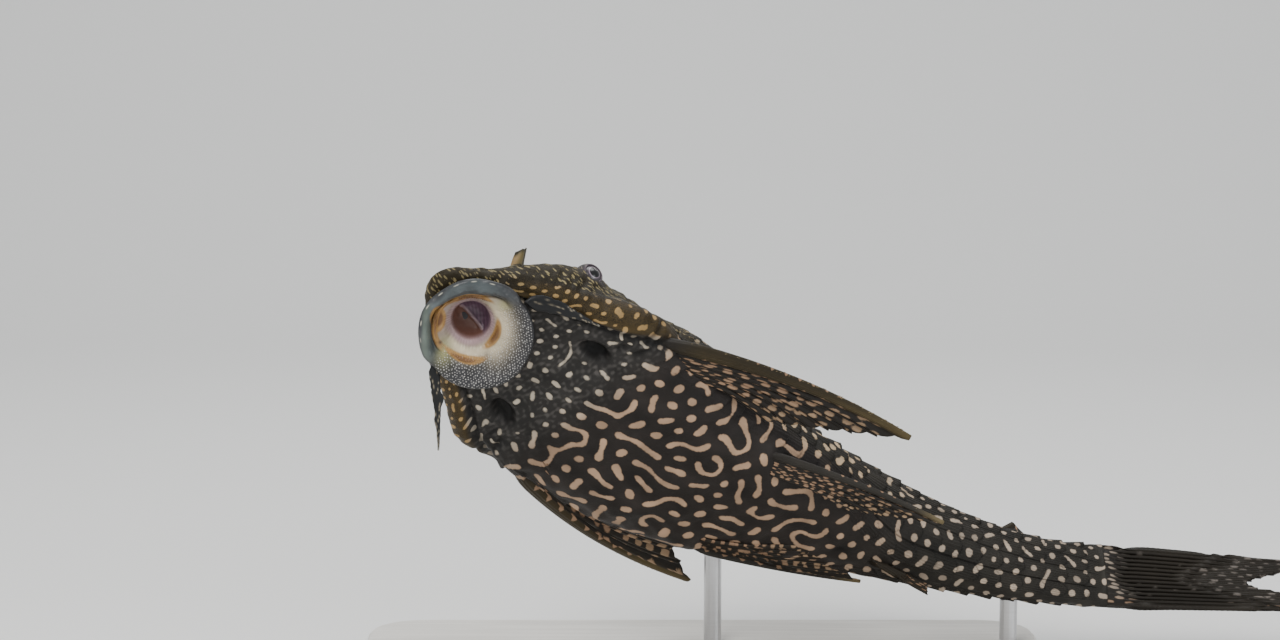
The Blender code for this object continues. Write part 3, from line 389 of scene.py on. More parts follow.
def rings(shares, girths):
    """Side, height and outward direction at each share and each girth from 0 to 1, and half girths."""
    rounding = 1 - np.clip((shares - SNOUT_START) / SNOUT_ROUNDING, 0, 1)
    nose = np.sqrt(np.clip(1 - rounding**2, 0, 1))
    width = along(HALF_WIDTH, shares) * nose
    level = along(WIDEST_LEVEL, shares)
    top = level + (along(BACK_HEIGHT, shares) - level) * nose**0.9
    bottom = level - (level + along(BELLY_SAG, shares)) * nose**0.6
    turn = np.linspace(0, math.pi, 241)[None, :]
    cosine = np.cos(turn)
    below = cosine > 0
    lower, upper = along(LOWER_POWER, shares), along(UPPER_POWER, shares)
    power = 2 / np.where(below, lower[:, None], upper[:, None])
    side = width[:, None] * np.sin(turn) ** power
    reach = np.where(below, bottom[:, None] - level[:, None], top[:, None] - level[:, None])
    height = level[:, None] + reach * np.abs(cosine) ** power
    lengths = np.hypot(np.diff(side), np.diff(height))
    run = np.concatenate((np.zeros((len(shares), 1)), np.cumsum(lengths, 1)), 1)
    half_girths = run[:, -1] * STANDARD_LENGTH
    run /= np.maximum(run[:, -1:], 1e-9)
    nudge = 0.006
    sides = np.empty((len(shares), len(girths)))
    heights = np.empty_like(sides)
    outs = np.empty(sides.shape + (2,))
    before = np.clip(girths - nudge, 0, 1)
    after = np.clip(girths + nudge, 0, 1)
    for k in range(len(shares)):
        sides[k] = np.interp(girths, run[k], side[k])
        heights[k] = np.interp(girths, run[k], height[k])
        outs[k, :, 0] = np.interp(after, run[k], height[k]) - np.interp(before, run[k], height[k])
        outs[k, :, 1] = np.interp(before, run[k], side[k]) - np.interp(after, run[k], side[k])
    outs[:, girths == 0] = (0, -1)
    outs[:, girths == 1] = (0, 1)
    return sides * STANDARD_LENGTH, heights * STANDARD_LENGTH, unit(outs), half_girths


def skin_point(share, girth, raised=0.0):
    """One place on the plain body, raised by metres."""
    side, height, out, _ = rings(np.array([share]), np.array([abs(girth)]))
    sign = 1 if girth >= 0 else -1
    across = (side[0, 0] + out[0, 0, 0] * raised) * sign
    rise = height[0, 0] + out[0, 0, 1] * raised
    return locate(np.array([share]), np.array([across]), np.array([rise]))[0]


def head_relief(share, girth):
    """How far the head stands proud of its plain form, in metres."""
    side = np.abs(girth)
    total = np.zeros_like(share * side)
    for height, middle, length, level, width in HEAD_HILLS:
        total = total + height * bump(share, middle, length) * bump(side, level, width)
    ridge_line = 0.80 - 0.5 * (share - 0.12)
    total = total + 0.0012 * bump(side, ridge_line, 0.035) * ease(share, 0.09, 0.13)
    rim = ease(share, 0.015, 0.038) * (1 - ease(share, 0.05, 0.08))
    total = total - 0.0012 * bump(side, 0.54, 0.09) * rim
    return total * (1 - ease(share, 0.24, 0.27))


def soft_noise(points, size, seed, waves=26):
    """Smooth noise about zero, whose lumps are about the given size in metres."""
    draw = np.random.default_rng(seed)
    total = np.zeros(points.shape[:-1])
    for _ in range(waves):
        heading = unit(draw.normal(size=3))
        length = size * draw.uniform(1.4, 3.2)
        total += np.cos(points @ heading * (2 * math.pi / length) + draw.uniform(0, 2 * math.pi))
    return total / math.sqrt(waves / 2)


# Markings


def spread_out(field, along_size, around_size, row_step, column_steps):
    """The field blurred over two sizes. Columns run round the body and close on themselves."""
    columns = field.shape[1]
    around = np.fft.rfftfreq(columns)[None, :]
    spread = around_size / column_steps[:, None]
    kept = np.exp(-2 * (np.pi * around * spread) ** 2)
    blurred = np.fft.irfft(np.fft.rfft(field, axis=1) * kept, columns, axis=1)
    doubled = np.concatenate((blurred, blurred[::-1]))
    lengthwise = np.fft.rfftfreq(len(doubled))[:, None]
    kept = np.exp(-2 * (np.pi * lengthwise * along_size / row_step) ** 2)
    return np.fft.irfft(np.fft.rfft(doubled, axis=0) * kept, len(doubled), axis=0)[: len(field)]


def worm_lines(row_step, column_steps, columns, balance, seed, stretch=(1.0, 1.0), steps=20):
    """Pale worm lines and spots that grow from noise, as near skin cells help and far ones hinder.

    Steps between cells are shares of the markings' spacing. A lower balance gives spots, and a
    higher one gives lines. The result falls off softly, so a higher cut gives thinner marks.
    """
    draw = np.random.default_rng(seed)
    field = draw.random((len(column_steps), columns))
    near_along, near_around = stretch[0] / 6.13, stretch[1] / 6.13
    for _ in range(steps):
        near = spread_out(field, near_along, near_around, row_step, column_steps)
        far = spread_out(field, near_along * 1.8, near_around * 1.8, row_step, column_steps)
        field = 1 / (1 + np.exp(-30 * (near - far + balance)))
    return spread_out(field, near_along * 0.75, near_around * 0.75, row_step, column_steps)


def cut_for(field, inside, cover):
    """The level above which the given share of the field inside lies."""
    return float(np.quantile(field[inside > 0.5], 1 - cover))


def marking_rows():
    """Shares of rows that stand evenly in the markings' spacing, and the step between two of them."""
    tight = np.linspace(0.0, 1.02, 1500)
    spacing = along(MARK_SPACING, tight)
    steps = np.diff(tight) * 2 / (spacing[1:] + spacing[:-1])
    run = np.concatenate(([0.0], np.cumsum(steps))) * STANDARD_LENGTH
    even = np.interp(np.linspace(0, run[-1], MARK_ROWS), run, tight)
    return even, run[-1] / (MARK_ROWS - 1)


def body_markings(shares, girths):
    """Field of the markings over the body: above a half is pale."""
    even, row_step = marking_rows()
    _, _, _, half = rings(np.clip(even, 0.004, 1.0), np.array([0.0, 1.0]))
    around = len(girths)
    column_steps = 2 * np.maximum(half, 0.004) / around / along(MARK_SPACING, even)
    side = np.abs(girths)[None, :]
    share = even[:, None]
    belly = ease(share, 0.22, 0.30) * (1 - ease(share, 0.56, 0.68)) * (1 - ease(side, 0.34, 0.44))
    head = (1 - ease(share, 0.235, 0.275)) * np.ones_like(side)
    tail = ease(share, 0.60, 0.74) * np.ones_like(side)
    flank = ease(side, 0.36, 0.46) * (1 - head) * (1 - tail)
    spots = worm_lines(row_step, column_steps, around, -0.056 + 0.025 * belly, 11)
    dashes = worm_lines(row_step, column_steps, around, -0.050, 14, (0.82, 1.25))
    fine_step, fine_columns = row_step / CHEEK_FINENESS, column_steps / CHEEK_FINENESS
    fine = worm_lines(fine_step, fine_columns, around, -0.054, 17)
    cheek = head * np.maximum(ease(side, 0.30, 0.34), 1 - ease(share, 0.04, 0.07))
    head = head - cheek
    field = spots * (1 - flank - cheek) + dashes * flank + fine * cheek
    level = 0.0
    for zone, cover in zip((belly, head, cheek, tail, flank), MARK_COVERS):
        level = level + zone * cut_for(field, zone, cover)
    left_over = np.clip(1 - belly - head - cheek - tail - flank, 0, 1)
    field = field - level - left_over * cut_for(field, belly, 0.25) + 0.5
    index = np.interp(shares, even, np.arange(MARK_ROWS))
    low = np.clip(index.astype(int), 0, MARK_ROWS - 2)
    rest = (index - low)[:, None]
    return field[low] * (1 - rest) + field[low + 1] * rest


# Meshes


def grid_quads(rows, columns, closed):
    """Quads of a grid of points, rows first."""
    i = np.arange(rows - 1)[:, None]
    j = np.arange(columns if closed else columns - 1)[None, :]
    k = (j + 1) % columns
    corners = (i * columns + j, i * columns + k, (i + 1) * columns + k, (i + 1) * columns + j)
    return np.stack(np.broadcast_arrays(*corners), -1).reshape(-1, 4)


def end_fan(first, columns, centre, flip):
    """Triangles that close a ring of points onto one point."""
    j = np.arange(columns)
    k = (j + 1) % columns
    fan = np.stack((first + j, first + k, np.full(columns, centre)), -1)
    return fan[:, ::-1] if flip else fan


def signed_volume(points, faces):
    total = 0.0
    for group in faces:
        for k in range(1, group.shape[1] - 1):
            a, b, c = points[group[:, 0]], points[group[:, k]], points[group[:, k + 1]]
            total += np.einsum("ij,ij->i", a, np.cross(b, c)).sum() / 6
    return total


def new_piece(name, points, faces, material, values=None, colours=None, closed=True):
    """A smooth mesh from arrays of points and faces, with values and colours held at its points."""
    points = np.asarray(points, float)
    middle = points.mean(0)
    if closed and signed_volume(points - middle, faces) < 0:
        faces = [group[:, ::-1] for group in faces]
    mesh = bpy.data.meshes.new(name)
    corners = np.concatenate([group.ravel() for group in faces])
    sizes = np.concatenate([np.full(len(group), group.shape[1]) for group in faces])
    mesh.vertices.add(len(points))
    mesh.vertices.foreach_set("co", points.astype(np.float32).ravel())
    mesh.loops.add(len(corners))
    mesh.loops.foreach_set("vertex_index", corners.astype(np.int32))
    mesh.polygons.add(len(sizes))
    starts = np.concatenate(([0], np.cumsum(sizes)[:-1]))
    mesh.polygons.foreach_set("loop_start", starts.astype(np.int32))
    mesh.polygons.foreach_set("use_smooth", np.ones(len(sizes), bool))
    mesh.update(calc_edges=True)
    for label, held in (values or {}).items():
        layer = mesh.attributes.new(label, "FLOAT", "POINT")
        layer.data.foreach_set("value", np.asarray(held, np.float32).ravel())
    for label, held in (colours or {}).items():
        layer = mesh.attributes.new(label, "FLOAT_COLOR", "POINT")
        full = np.ones((len(points), 4), np.float32)
        full[:, :3] = np.asarray(held).reshape(-1, 3)
        layer.data.foreach_set("color", full.ravel())
    mesh.materials.append(material)
    item = bpy.data.objects.new(name, mesh)
    bpy.context.scene.collection.objects.link(item)
    return item


def add_uv(item, u, v):
    """An unwrap named OFBake, from two arrays held at the points."""
    mesh = item.data
    corner = np.empty(len(mesh.loops), np.int32)
    mesh.loops.foreach_get("vertex_index", corner)
    layer = mesh.uv_layers.new(name="OFBake", do_init=False)
    places = np.stack((np.ravel(u)[corner], np.ravel(v)[corner]), -1)
    layer.data.foreach_set("uv", places.astype(np.float32).ravel())


def thin_sheet(name, middle, thickness, material, values=None, colours=None):
    """A closed thin body about a grid of points."""
    rows, columns = middle.shape[:2]
    down = np.gradient(middle, axis=0)
    over = np.gradient(middle, axis=1)
    normal = unit(np.cross(down, over))
    offset = normal * (np.broadcast_to(thickness, (rows, columns))[..., None] / 2)
    points = np.concatenate(((middle + offset).reshape(-1, 3), (middle - offset).reshape(-1, 3)))
    top = grid_quads(rows, columns, False)
    under = rows * columns
    edge = list(range(columns))
    edge += [i * columns + columns - 1 for i in range(1, rows)]
    edge += [(rows - 1) * columns + j for j in range(columns - 2, -1, -1)]
    edge += [i * columns for i in range(rows - 2, 0, -1)]
    a = np.array(edge)
    b = np.roll(a, -1)
    sides = np.stack((a, a + under, b + under, b), -1)
    faces = [np.concatenate((top, top[:, ::-1] + under, sides))]
    twice_values = {k: np.concatenate((np.ravel(v), np.ravel(v))) for k, v in (values or {}).items()}
    twice_colours = {}
    for label, held in (colours or {}).items():
        flat = np.asarray(held).reshape(-1, 3)
        twice_colours[label] = np.concatenate((flat, flat))
    return new_piece(name, points, faces, material, twice_values, twice_colours)


def round_tube(route, widths, depths, sides, flat_way):
    """Rings of an oval tube along a route of points. Widths lie along the flat way."""
    ahead = unit(np.gradient(route, axis=0))
    wide = unit(flat_way - ahead * np.sum(flat_way * ahead, -1, keepdims=True))
    deep = np.cross(ahead, wide)
    turn = np.linspace(0, 2 * math.pi, sides, endpoint=False)[None, :, None]
    return (
        route[:, None]
        + wide[:, None] * np.cos(turn) * np.reshape(widths, (len(route), -1, 1))
        + deep[:, None] * np.sin(turn) * np.reshape(depths, (len(route), -1, 1))
    )


def with_ends(held_values):
    """Values of the points of rings, followed by those of the two points that close the ends."""
    held_values = np.asarray(held_values)
    flat = held_values.reshape((-1,) + held_values.shape[2:])
    return np.concatenate((flat, flat[:1], flat[-1:]))


def ring_piece(name, places, ends, material, values=None, colours=None):
    """A closed piece of rings of points, with a point at each end."""
    rows, sides = places.shape[:2]
    count = rows * sides
    fans = (end_fan(0, sides, count, True), end_fan(count - sides, sides, count + 1, False))
    faces = [grid_quads(rows, sides, True), np.concatenate(fans)]
    points = np.concatenate((places.reshape(-1, 3), *ends))
    values = {k: with_ends(v) for k, v in (values or {}).items()}
    colours = {k: with_ends(v) for k, v in (colours or {}).items()}
    return new_piece(name, points, faces, material, values, colours)


def tube_piece(name, places, material, paint):
    """A painted piece of rings, closed onto the middle of its first and last ring."""
    ends = (places[:1].mean(1), places[-1:].mean(1))
    return ring_piece(name, places, ends, material, None, {"paint": paint})


def bundle_piece(name, tubes, material, paint):
    """One piece of many small closed tubes that are painted alike, with one colour for each ring."""
    rows, sides = tubes[0].shape[:2]
    size = rows * sides
    points, quads, tips = [], [], []
    for k, tube in enumerate(tubes):
        first = k * (size + 2)
        points += [tube.reshape(-1, 3), tube[:1].mean(1), tube[-1:].mean(1)]
        quads.append(grid_quads(rows, sides, True) + first)
        tips.append(end_fan(first, sides, first + size, True))
        tips.append(end_fan(first + size - sides, sides, first + size + 1, False))
    one = np.concatenate((np.repeat(paint, sides, axis=0), paint[:1], paint[-1:]))
    faces = [np.concatenate(quads), np.concatenate(tips)]
    colours = {"paint": np.tile(one, (len(tubes), 1))}
    return new_piece(name, np.concatenate(points), faces, material, None, colours)


# Materials


def add_node(tree, kind, inputs=None, **settings):
    """A shader node with its settings, and its inputs linked or set by name or number."""
    made = tree.nodes.new(kind)
    for key, value in settings.items():
        setattr(made, key, value)
    for key, value in (inputs or {}).items():
        socket = made.inputs[key]
        if isinstance(value, bpy.types.NodeSocket):
            tree.links.new(value, socket)
        else:
            socket.default_value = value
    return made


def own_place(tree):
    """Places in the piece's own frame, in metres."""
    return add_node(tree, "ShaderNodeTexCoord").outputs["Object"]


def stretched(tree, place, scale):
    return add_node(tree, "ShaderNodeMapping", {"Vector": place, "Scale": scale}).outputs["Vector"]


def noise(tree, place, scale, detail, output="Fac"):
    inputs = {"Vector": place, "Scale": scale, "Detail": detail}
    return add_node(tree, "ShaderNodeTexNoise", inputs).outputs[output]


def ranged(tree, value, low, high, start=0.0, end=1.0, **settings):
    """A value from start to end, moved to run from low to high."""
    inputs = {"Value": value, "From Min": start, "From Max": end, "To Min": low, "To Max": high}
    return add_node(tree, "ShaderNodeMapRange", inputs, **settings).outputs["Result"]


def reckoned(tree, operation, first, second, kind="ShaderNodeMath"):
    return add_node(tree, kind, {0: first, 1: second}, operation=operation).outputs[0]


def blended(tree, share, first, second, kind="FLOAT", way="MIX"):
    """Two values or colours mixed by a share."""
    inputs = {"Factor": share, "A": first, "B": second}
    return add_node(tree, "ShaderNodeMix", inputs, data_type=kind, blend_type=way).outputs["Result"]


def toned(tree, colour, tone):
    """A colour made darker or lighter by a tone."""
    return blended(tree, 1.0, colour, tone, "RGBA", "MULTIPLY")


def ramped(tree, value, low, high, start=0.0, end=1.0):
    """A colour that goes from low to high as the value goes from start to end."""
    made = add_node(tree, "ShaderNodeValToRGB", {"Fac": value})
    for k, stop, colour in ((0, start, low), (1, end, high)):
        made.color_ramp.elements[k].position = stop
        made.color_ramp.elements[k].color = (*colour, 1)
    return made.outputs["Color"]


def new_group(name, inputs, outputs):
    """A node group with its sockets, where None and "Color" stand for colours, and its two ends."""
    group = bpy.data.node_groups.new(name, "ShaderNodeTree")
    for label, value in inputs.items():
        kind = "NodeSocketColor" if value is None else "NodeSocketFloat"
        socket = group.interface.new_socket(label, in_out="INPUT", socket_type=kind)
        if value is not None:
            socket.default_value = value
    for label in outputs:
        kind = "NodeSocketColor" if label == "Color" else "NodeSocketFloat"
        group.interface.new_socket(label, in_out="OUTPUT", socket_type=kind)
    given = group.nodes.new("NodeGroupInput").outputs
    return group, given, group.nodes.new("NodeGroupOutput").inputs


def fine_grain_group():
    """Tiny tooth-like grains and soft unevenness, as a height and as a change of tone."""
    inputs = {"Grains": 1800.0, "Waves": 160.0, "Grain Share": 0.6}
    group, given, out = new_group("fine_grain", inputs, ("Height", "Tone"))
    place = own_place(group)
    cells = add_node(group, "ShaderNodeTexVoronoi", {"Vector": place, "Scale": given["Grains"]})
    domes = reckoned(group, "SUBTRACT", 1.0, cells.outputs["Distance"])
    waves = noise(group, place, given["Waves"], 5.0)
    group.links.new(blended(group, given["Grain Share"], waves, domes), out["Height"])
    broad = noise(group, place, 55.0, 4.0)
    group.links.new(ranged(group, broad, 0.78, 1.20, 0.3, 0.7), out["Tone"])
    return group


def marked_skin_group():
    """Pale markings on a dark ground, with a softly broken edge."""
    inputs = {"Ground": None, "Pale": None, "Marks": 0.0, "Cut": 0.50, "Tone": 1.0}
    group, given, out = new_group("marked_skin", inputs, ("Color", "Pale Mask"))
    frayed = ranged(group, noise(group, own_place(group), 900.0, 3.0), -0.14, 0.14)
    field = reckoned(group, "ADD", given["Marks"], frayed)
    above = reckoned(group, "SUBTRACT", field, given["Cut"])
    mask = ranged(group, above, 0.0, 1.0, -0.10, 0.12, interpolation_type="SMOOTHSTEP")
    colour = blended(group, mask, given["Ground"], given["Pale"], "RGBA")
    group.links.new(toned(group, colour, given["Tone"]), out["Color"])
    group.links.new(mask, out["Pale Mask"])
    return group


def dark_net_group():
    """A fine dark network between tiny cells, as a multiplier from dark to 1."""
    group, given, out = new_group("dark_net", {"Cells": 1500.0, "Strength": 0.0}, ("Tone",))
    inputs = {"Vector": own_place(group), "Scale": given["Cells"]}
    net = add_node(group, "ShaderNodeTexVoronoi", inputs, feature="DISTANCE_TO_EDGE")
    lines = ranged(group, net.outputs["Distance"], 0.25, 1.0, 0.03, 0.22)
    group.links.new(blended(group, given["Strength"], 1.0, lines), out["Tone"])
    return group


def fine_dashes_group():
    """Short thin dashes that run along the body, as a field of marks above a half."""
    group, given, out = new_group("fine_dashes", {"Along": 0.0, "Around": 0.0}, ("Marks",))
    joined = add_node(group, "ShaderNodeCombineXYZ", {"X": given["Along"], "Y": given["Around"]})
    place = joined.outputs["Vector"]
    wander = noise(group, place, 420.0, 2.0, "Color")
    bent = reckoned(group, "MULTIPLY", wander, (0.0012, 0.0009, 0.0), "ShaderNodeVectorMath")
    moved = reckoned(group, "ADD", place, bent, "ShaderNodeVectorMath")
    inputs = {"Vector": stretched(group, moved, (460.0, 900.0, 1.0)), "Scale": 1.0}
    cells = add_node(group, "ShaderNodeTexVoronoi", inputs)
    marks = ranged(group, cells.outputs["Distance"], 1.0, 0.0, 0.0, 0.70)
    group.links.new(marks, out["Marks"])
    return group


GROUPS = {
    "grain": fine_grain_group(),
    "marked": marked_skin_group(),
    "net": dark_net_group(),
    "dashes": fine_dashes_group(),
}


def place_group(tree, group, inputs):
    """One of the groups above, with its inputs linked or set. Gives its outputs."""
    return add_node(tree, "ShaderNodeGroup", inputs, node_tree=GROUPS[group]).outputs


def grained(tree, grains, waves, share):
    return place_group(tree, "grain", {"Grains": grains, "Waves": waves, "Grain Share": share})


def held(tree, name, output="Fac"):
    """A value or colour held at the mesh's points."""
    return add_node(tree, "ShaderNodeAttribute", attribute_name=name).outputs[output]


def marked(tree, marks, tone):
    """Marked skin in the ground and pale colours held at the mesh's points."""
    colours = {"Ground": held(tree, "ground", "Color"), "Pale": held(tree, "pale", "Color")}
    return place_group(tree, "marked", {**colours, "Marks": marks, "Tone": tone})


def start_material(name, roughness, specular=0.5, coat=0.0, coat_roughness=0.2, metallic=0.0):
    material = bpy.data.materials.new(name)
    material.use_nodes = True
    shader = material.node_tree.nodes["Principled BSDF"]
    shader.inputs["Roughness"].default_value = roughness
    shader.inputs["Specular IOR Level"].default_value = specular
    shader.inputs["Coat Weight"].default_value = coat
    shader.inputs["Coat Roughness"].default_value = coat_roughness
    shader.inputs["Metallic"].default_value = metallic
    return material, material.node_tree, shader


def add_bump(tree, shader, height, strength, distance):
    inputs = {"Height": height, "Strength": strength, "Distance": distance}
    tree.links.new(add_node(tree, "ShaderNodeBump", inputs).outputs["Normal"], shader.inputs["Normal"])


def skin_material():
    """Body skin: plates, smooth belly, olive cheeks, and the pale markings over all of them."""
    material, tree, shader = start_material("plated_skin", 0.5, 0.20)
    grain = grained(tree, 1700.0, 260.0, held(tree, "rough"))
    places = {"Along": held(tree, "lengthwise"), "Around": held(tree, "roundwise")}
    dashes = place_group(tree, "dashes", places)["Marks"]
    skin = marked(tree, blended(tree, held(tree, "crown"), held(tree, "marks"), dashes), grain["Tone"])
    off_marks = ranged(tree, skin["Pale Mask"], 1.0, 0.30)
    strength = reckoned(tree, "MULTIPLY", off_marks, held(tree, "net"))
    net = place_group(tree, "net", {"Cells": 2100.0, "Strength": strength})
    # the dark net and the dark plate seams, and painted shade in the plates' steps, the folds, the
    # gill pit, the eye sockets and the nostrils, darken the colour
    shade = reckoned(tree, "MULTIPLY", net["Tone"], held(tree, "seams_and_painted_shade"))
    tree.links.new(toned(tree, skin["Color"], shade), shader.inputs["Base Color"])
    tree.links.new(ranged(tree, grain["Height"], 0.66, 0.44), shader.inputs["Roughness"])
    add_bump(tree, shader, grain["Height"], 0.55, 0.00025)
    return material


def painted_material(name, roughness, coat, grains, depth):
    """Moist soft skin whose colour is held at its points."""
    material, tree, shader = start_material(name, roughness, 0.26, coat, 0.18)
    grain = grained(tree, grains, 420.0, 0.35)
    paint = toned(tree, held(tree, "paint", "Color"), grain["Tone"])
    tree.links.new(paint, shader.inputs["Base Color"])
    add_bump(tree, shader, grain["Height"], 0.5, depth)
    return material


def fin_material():
    """Fin skin: pale spots on a dark ground, over rays and membranes."""
    material, tree, shader = start_material("fin_skin", 0.52, 0.22)
    grain = grained(tree, 2300.0, 500.0, 0.5)
    skin = marked(tree, held(tree, "marks"), grain["Tone"])
    tree.links.new(skin["Color"], shader.inputs["Base Color"])
    add_bump(tree, shader, grain["Height"], 0.5, 0.0002)
    return material


def eye_material():
    """Smooth wet eye, whose pupil and flecked iris are held at its points."""
    material, tree, shader = start_material("eye", 0.28, 0.5, 0.4, 0.12)
    grain = grained(tree, 5200.0, 900.0, 0.4)
    paint = toned(tree, held(tree, "paint", "Color"), grain["Tone"])
    tree.links.new(paint, shader.inputs["Base Color"])
    return material


def figured_material(started, scale, figure, ramp, gloss, depth):
    """A stand's finish: a noise drawn out by the scale drives its colour, gloss and relief."""
    material, tree, shader = started
    drawn = noise(tree, stretched(tree, own_place(tree), scale), *figure)
    tree.links.new(ramped(tree, drawn, *ramp), shader.inputs["Base Color"])
    tree.links.new(ranged(tree, drawn, *gloss), shader.inputs["Roughness"])
    add_bump(tree, shader, drawn, *depth)
    return material


def base_material():
    """Pale lacquered wood with a faint grain."""
    started = start_material("pale_lacquer", 0.42, 0.4)
    ramp = (LACQUER_DARK, LACQUER_PALE, 0.32, 0.68)
    scale = (9.0, 150.0, 150.0)
    return figured_material(started, scale, (2.0, 6.0), ramp, (0.36, 0.50), (0.25, 0.0002))


def rod_material():
    """Brushed steel, with fine lines round the rod."""
    started = start_material("brushed_steel", 0.32, 0.5, metallic=1.0)
    ramp = (STEEL_DARK, STEEL_PALE, 0.0, 1.0)
    scale = (60.0, 60.0, 5200.0)
    return figured_material(started, scale, (1.0, 3.0), ramp, (0.24, 0.42), (0.15, 0.00005))


def stage_material(name, colour, roughness):
    """A stage surface with a faint unevenness, clear from behind so that it never hides the model."""
    material, tree, shader = start_material(name, roughness, 0.3)
    cloud = add_node(tree, "ShaderNodeTexNoise", {"Scale": 40.0, "Detail": 3.0}).outputs["Fac"]
    darker = [c * 0.985 for c in colour]
    tree.links.new(ramped(tree, cloud, darker, colour), shader.inputs["Base Color"])
    clear = add_node(tree, "ShaderNodeBsdfTransparent")
    behind = add_node(tree, "ShaderNodeNewGeometry").outputs["Backfacing"]
    inputs = {0: behind, 1: shader.outputs[0], 2: clear.outputs[0]}
    shown = add_node(tree, "ShaderNodeMixShader", inputs)
    tree.links.new(shown.outputs[0], tree.nodes["Material Output"].inputs["Surface"])
    return material


# Eyes' and mouth's places


def eye_frame(side):
    """The eye's centre, the direction it looks, and the direction up."""
    on_skin = skin_point(EYE_SHARE, EYE_GIRTH * side)
    outward = unit(skin_point(EYE_SHARE, EYE_GIRTH * side, 0.01) - on_skin)
    relief = float(head_relief(EYE_SHARE, EYE_GIRTH))
    _, backward, left, up = directions(EYE_SHARE)
    look = unit(outward * 0.55 + left * side * 0.45 - up * 0.50 - backward * 0.20)
    return on_skin + outward * (relief - EYE_SINK), look, up


def nostril_frame(side):
    base = skin_point(NOSTRIL_SHARE, NOSTRIL_GIRTH * side)
    outward = unit(skin_point(NOSTRIL_SHARE, NOSTRIL_GIRTH * side, 0.01) - base)
    return base + outward * float(head_relief(NOSTRIL_SHARE, NOSTRIL_GIRTH)), outward


def disc_frame():
    """The disc's centre, and its forward, left and outward directions."""
    place, backward, left, up = directions(DISC_SHARE)
    centre = place - up * DISC_STAND_OFF
    pane = np.array([0.0, -1.0, 0.0])
    outward = unit(-up * (1 - DISC_TOWARDS_PANE) + pane * DISC_TOWARDS_PANE)
    forward = unit(-backward - outward * np.dot(-backward, outward))
    leftward = np.cross(outward, forward)
    if np.dot(leftward, left) < 0:
        leftward = -leftward
    turn = math.radians(DISC_TURN)
    turned = forward * math.cos(turn) + leftward * math.sin(turn)
    leftward = leftward * math.cos(turn) - forward * math.sin(turn)
    return centre, turned, leftward, outward


DISC = disc_frame()


def disc_place(radius, turn, level, shift=0.0):
    """Places on the disc. Radius and shift are in disc radii, and turn goes from left to snout."""
    centre, forward, leftward, outward = DISC
    radius, turn, level, shift = np.broadcast_arrays(radius, turn, level, shift)
    sideways = (np.cos(turn) * radius)[..., None] * leftward
    onward = (np.sin(turn) * radius + shift)[..., None] * forward
    return centre + (sideways + onward) * DISC_RADIUS + level[..., None] * outward


# The skin


def plate_layout(share, girth):
    """Row, place across it from -1 to 1, plate number and progress along it, over arrays."""
    change = ease(share, *BORDERS_CHANGE)
    borders = [a + (b - a) * change for a, b in zip(TRUNK_BORDERS, TAIL_BORDERS)]
    side = np.abs(girth)
    row = np.full(side.shape, -1)
    across = np.zeros(side.shape)
    for k in range(len(borders) - 1):
        inside = side >= borders[k]
        row = np.where(inside, k, row)
        place = 2 * (side - borders[k]) / (borders[k + 1] - borders[k]) - 1
        across = np.where(inside, np.clip(place, -1, 1), across)
    lean = NECK_LEAN * ease(side, 0.40, 0.95) * ease(share, 0.02, NECK_SHARE)
    lean = lean * (1 - ease(share, NECK_SHARE, LEAN_END))
    pitch = (1 - NECK_SHARE) / PLATES
    teeth = 0.035 * np.abs(np.sin(across * PLATE_TEETH * math.pi / 2))
    point = (PLATE_POINT * (1 - across**2) + teeth) * pitch
    course = (share - lean - point - NECK_SHARE) / pitch
    plate = np.floor(course)
    return row, across, plate, course - plate


def fin_frame(side, share, girth, lie, fold):
    """A paired fin's root, the way its spine runs, the way the fin folds, and its face."""
    root = skin_point(share, girth * side)
    _, backward, left, up = directions(share)
    out = left * side
    run = unit(backward * lie[0] + out * lie[1] + up * lie[2])
    across = backward * fold[0] + out * fold[1] + up * fold[2]
    across = unit(across - run * np.dot(across, run))
    return root, run, across, np.cross(run, across)


def shoulder_rise(plain):
    """Mounds of flesh at the roots of the paired fins, in metres."""
    rise = np.zeros(plain.shape[:-1])
    for _, form, side, share, girth, _, lie, fold, _ in PAIRED_FINS:
        root, run, across, _ = fin_frame(side, share, girth, lie, fold)
        away = plain - (root - across * form["spine_width"] * 0.15 + run * 0.001)
        ahead = away @ run
        over = away @ across
        deep = np.sqrt(np.maximum(np.sum(away * away, -1) - ahead**2 - over**2, 0))
        reach = form["spine_width"] * 1.15 + 0.001
        width = form["base"] * 0.75
        here = np.exp(-((ahead / reach) ** 2) - (over / width) ** 2 - (deep / 0.012) ** 2)
        rise = np.maximum(rise, form["spine_thickness"] * 0.62 * here)
    return rise


def plate_relief(share, girth):
    """How far the plates stand proud, where the skin is plated, and how dark the seams are, with
    painted shade at the front of each plate under the edge of the one before.
    """
    side = np.abs(girth)
    row, across, plate, progress = plate_layout(share, girth)
    chance = np.random.default_rng(5).uniform(0.75, 1.2, (64, 8))
    luck = chance[np.clip(plate, -20, 40).astype(int) % 64, np.clip(row, 0, 5)]
    size = 0.55 + 0.45 * along(HALF_WIDTH, share) / 0.143
    plated = (row >= 0) * ease(share, 0.235, NECK_SHARE + 0.02) * (1 - ease(share, 0.985, 1.0))
    ramp = progress * size * luck
    lift = PLATE_STEP * ramp * (1 - 0.5 * across**2)
    lift = lift + PLATE_KEEL * ramp * np.clip(1 - 1.6 * np.abs(across), 0, 1)
    seam = ease(np.abs(across), 0.90, 1.0) * ~((row == 0) & (across < 0))
    lift = lift - PLATE_SEAM * seam
    ridges = np.cos(across * math.pi * 7) * (0.00010 + 0.00010 * progress)
    calm = 1 - 0.75 * (1 - ease(share, 0.36, 0.47)) * ease(side, 0.45, 0.62)
    # painted shade: the front of each plate, under the raised rear edge of the plate before it, is
    # darkened
    step = (1 - ease(progress, 0.0, 0.10)) * plated * 0.8
    return (lift * calm + ridges) * plated, plated, np.clip(seam * plated + step, 0, 1)


